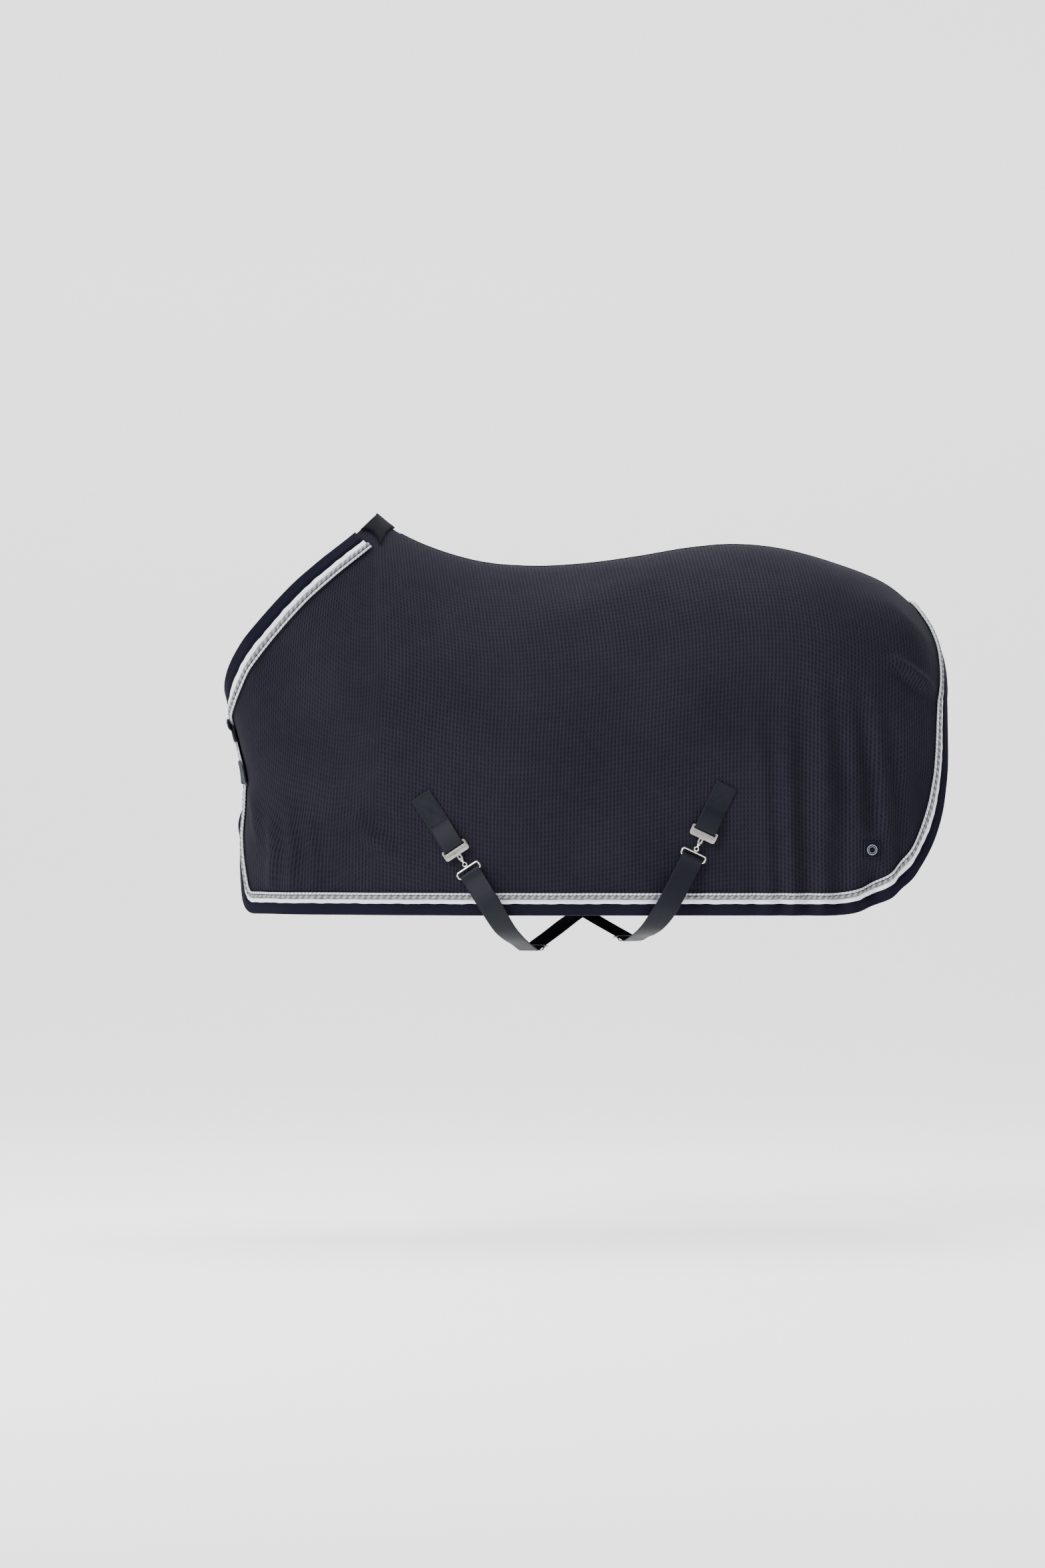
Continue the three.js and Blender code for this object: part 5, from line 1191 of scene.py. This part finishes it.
class RugSettings(bpy.types.PropertyGroup):
    waffle_pitch: bpy.props.FloatProperty(name="Waffle pitch", description="Distance between the fleece's ribs", default=0.0082,
                                          min=0.003, max=0.03, unit="LENGTH")
    fleece_colour: colour_property("Fleece", "Colour of the body fleece", (0.0118, 0.0108, 0.0172))
    patch_colour: colour_property("Withers patch", "Colour of the withers patch", (0.0020, 0.0018, 0.0050))
    binding_colour: colour_property("Binding", "Colour of the edge binding", (0.0048, 0.0045, 0.0112))
    tape_colour: colour_property("Tape", "Colour of the pale edge tape", (0.74, 0.78, 0.84))
    cord_colour: colour_property("Cord", "Colour of the twisted cord's pale strand", (0.30, 0.30, 0.31))
    webbing_colour: colour_property("Webbing", "Colour of the surcingle webbing", (0.0030, 0.0038, 0.0080))
    chest_colour: colour_property("Chest straps", "Colour of the chest straps", (0.0260, 0.0290, 0.0400))


class StageSettings(bpy.types.PropertyGroup):
    floor_height: bpy.props.FloatProperty(name="Floor height", description="Height of the floor below the withers", default=-1.63,
                                          unit="LENGTH")
    floor_colour: colour_property("Floor", "Colour of the floor", (0.89, 0.89, 0.89))
    key_power: bpy.props.FloatProperty(name="Key light", description="Power of the largest light", default=640.0, min=0)
    lens: bpy.props.FloatProperty(name="Lens", description="Focal length of the camera in millimetres", default=81.6, min=10)


class RUG_OT_materials(bpy.types.Operator):
    """Make the rug's procedural materials"""

    bl_idname = "rug.materials"
    bl_label = "Materials"

    def execute(self, context):
        build_materials(context.scene.rug)
        return {"FINISHED"}


class RUG_OT_panels(bpy.types.Operator):
    bl_idname = "rug.panels"
    bl_label = "Fleece sides"

    def execute(self, context):
        for word, side in SIDES:
            piece, area = panel_piece(word, side)
        return {"FINISHED"}


class RUG_OT_trims(bpy.types.Operator):
    """Make the binding, tape and cords along the edges, and the centre seam"""

    bl_idname = "rug.trims"
    bl_label = "Edge trims"

    def execute(self, context):
        for word, side in SIDES:
            trim_pieces(word, side)
            binding_stitches(word, side)
        spine_pieces()
        return {"FINISHED"}


class RUG_OT_withers(bpy.types.Operator):
    """Make the withers patch and its lining pad"""

    bl_idname = "rug.withers"
    bl_label = "Withers patch"

    def execute(self, context):
        withers_pieces()
        return {"FINISHED"}


class RUG_OT_chest(bpy.types.Operator):
    """Make the chest straps with their pads, loop strip, label and tag"""

    bl_idname = "rug.chest"
    bl_label = "Chest closure"

    def execute(self, context):
        chest_pieces()
        return {"FINISHED"}


class RUG_OT_surcingles(bpy.types.Operator):
    """Make the sewn tabs, near straps, belly straps and anchors"""

    bl_idname = "rug.surcingles"
    bl_label = "Surcingles"

    def execute(self, context):
        for word in WORDS:
            tab_piece(word)
            strap_piece(word)
            belly_piece(word)
        return {"FINISHED"}


class RUG_OT_hardware(bpy.types.Operator):
    """Make the clip plates, swivel hooks, bails and slide adjusters"""

    bl_idname = "rug.hardware"
    bl_label = "Hardware"

    def execute(self, context):
        for word in WORDS:
            clip_pieces(word)
            slide_piece(word)
        return {"FINISHED"}


class RUG_OT_badge(bpy.types.Operator):
    """Make the plain badge on the quarter"""

    bl_idname = "rug.badge"
    bl_label = "Badge"

    def execute(self, context):
        badge_pieces()
        return {"FINISHED"}


class RUG_OT_stage(bpy.types.Operator):
    """Make the floor, soft lights and the camera"""

    bl_idname = "rug.stage"
    bl_label = "Stage"

    def execute(self, context):
        stage = context.scene.rug_stage
        size, bend = 14.0, 3.0
        turn = np.linspace(0, np.pi / 2, 24)
        line = [(-size, 0.0)] + list(zip(6.0 + bend * np.sin(turn), bend * (1 - np.cos(turn)))) + [(6.0 + bend, 12.0)]
        y, z = np.array(line).T
        x = np.array([-size, size])
        verts = np.stack([np.repeat(x, len(y)), np.tile(y, 2), np.tile(z, 2) + stage.floor_height], 1) * 1000
        n = len(y)
        faces = [[i, i + n, i + n + 1, i + 1] for i in range(n - 1)]
        floor = finish_mesh("studio floor", verts, faces)
        floor.data.materials.append(floor_material(stage.floor_colour))

        world = bpy.data.worlds.new("studio")
        context.scene.world = world
        world.use_nodes = True
        world.node_tree.nodes["Background"].inputs[0].default_value = (0.93, 0.95, 1.0, 1)
        world.node_tree.nodes["Background"].inputs[1].default_value = 0.45
        for name, power, size, at, target in (
            ("key", stage.key_power, 3.2, (-3.4, -3.4, 3.4), (0.4, 0, -0.6)),
            ("fill", stage.key_power * 0.12, 3.5, (3.6, -4.6, 0.8), (0.5, 0, -0.6)),
            ("top", stage.key_power * 0.4, 2.6, (0.6, 0.6, 3.4), (0.5, 0, 0)),
        ):
            lamp = bpy.data.lights.new(name, "AREA")
            lamp.energy, lamp.size = power, size
            light = bpy.data.objects.new(name, lamp)
            context.scene.collection.objects.link(light)
            light.location = at
            aim = Vector(target) - light.location
            light.rotation_euler = aim.to_track_quat("-Z", "Y").to_euler()
        lens = bpy.data.cameras.new("camera")
        lens.sensor_fit, lens.sensor_height, lens.sensor_width, lens.lens = "VERTICAL", 24.0, 24.0, stage.lens
        lens.clip_end = 100
        camera = bpy.data.objects.new("camera", lens)
        context.scene.collection.objects.link(camera)
        camera.location = (0.3135, -12.31, -0.5865)
        camera.rotation_euler = (np.pi / 2, 0, 0)
        context.scene.camera = camera
        return {"FINISHED"}


STEPS = (RUG_OT_materials, RUG_OT_panels, RUG_OT_trims, RUG_OT_withers, RUG_OT_chest, RUG_OT_surcingles, RUG_OT_hardware,
         RUG_OT_badge, RUG_OT_stage)


class RUG_PT_panel(bpy.types.Panel):
    bl_idname = "RUG_PT_panel"
    bl_label = "Horse Rug"
    bl_space_type = "VIEW_3D"
    bl_region_type = "UI"
    bl_category = "Horse Rug"

    def draw(self, context):
        for settings in (context.scene.rug, context.scene.rug_stage):
            for key in settings.__annotations__:
                self.layout.prop(settings, key)
        for step in STEPS:
            self.layout.operator(step.bl_idname)


CLASSES = (RugSettings, StageSettings) + STEPS + (RUG_PT_panel,)


def register():
    for cls in CLASSES:
        bpy.utils.register_class(cls)
    bpy.types.Scene.rug = bpy.props.PointerProperty(type=RugSettings)
    bpy.types.Scene.rug_stage = bpy.props.PointerProperty(type=StageSettings)


def unregister():
    del bpy.types.Scene.rug_stage
    del bpy.types.Scene.rug
    for cls in reversed(CLASSES):
        bpy.utils.unregister_class(cls)


def main():
    register()
    for step in STEPS:
        group, name = step.bl_idname.split(".")
        getattr(getattr(bpy.ops, group), name)()


if __name__ == "__main__":
    main()
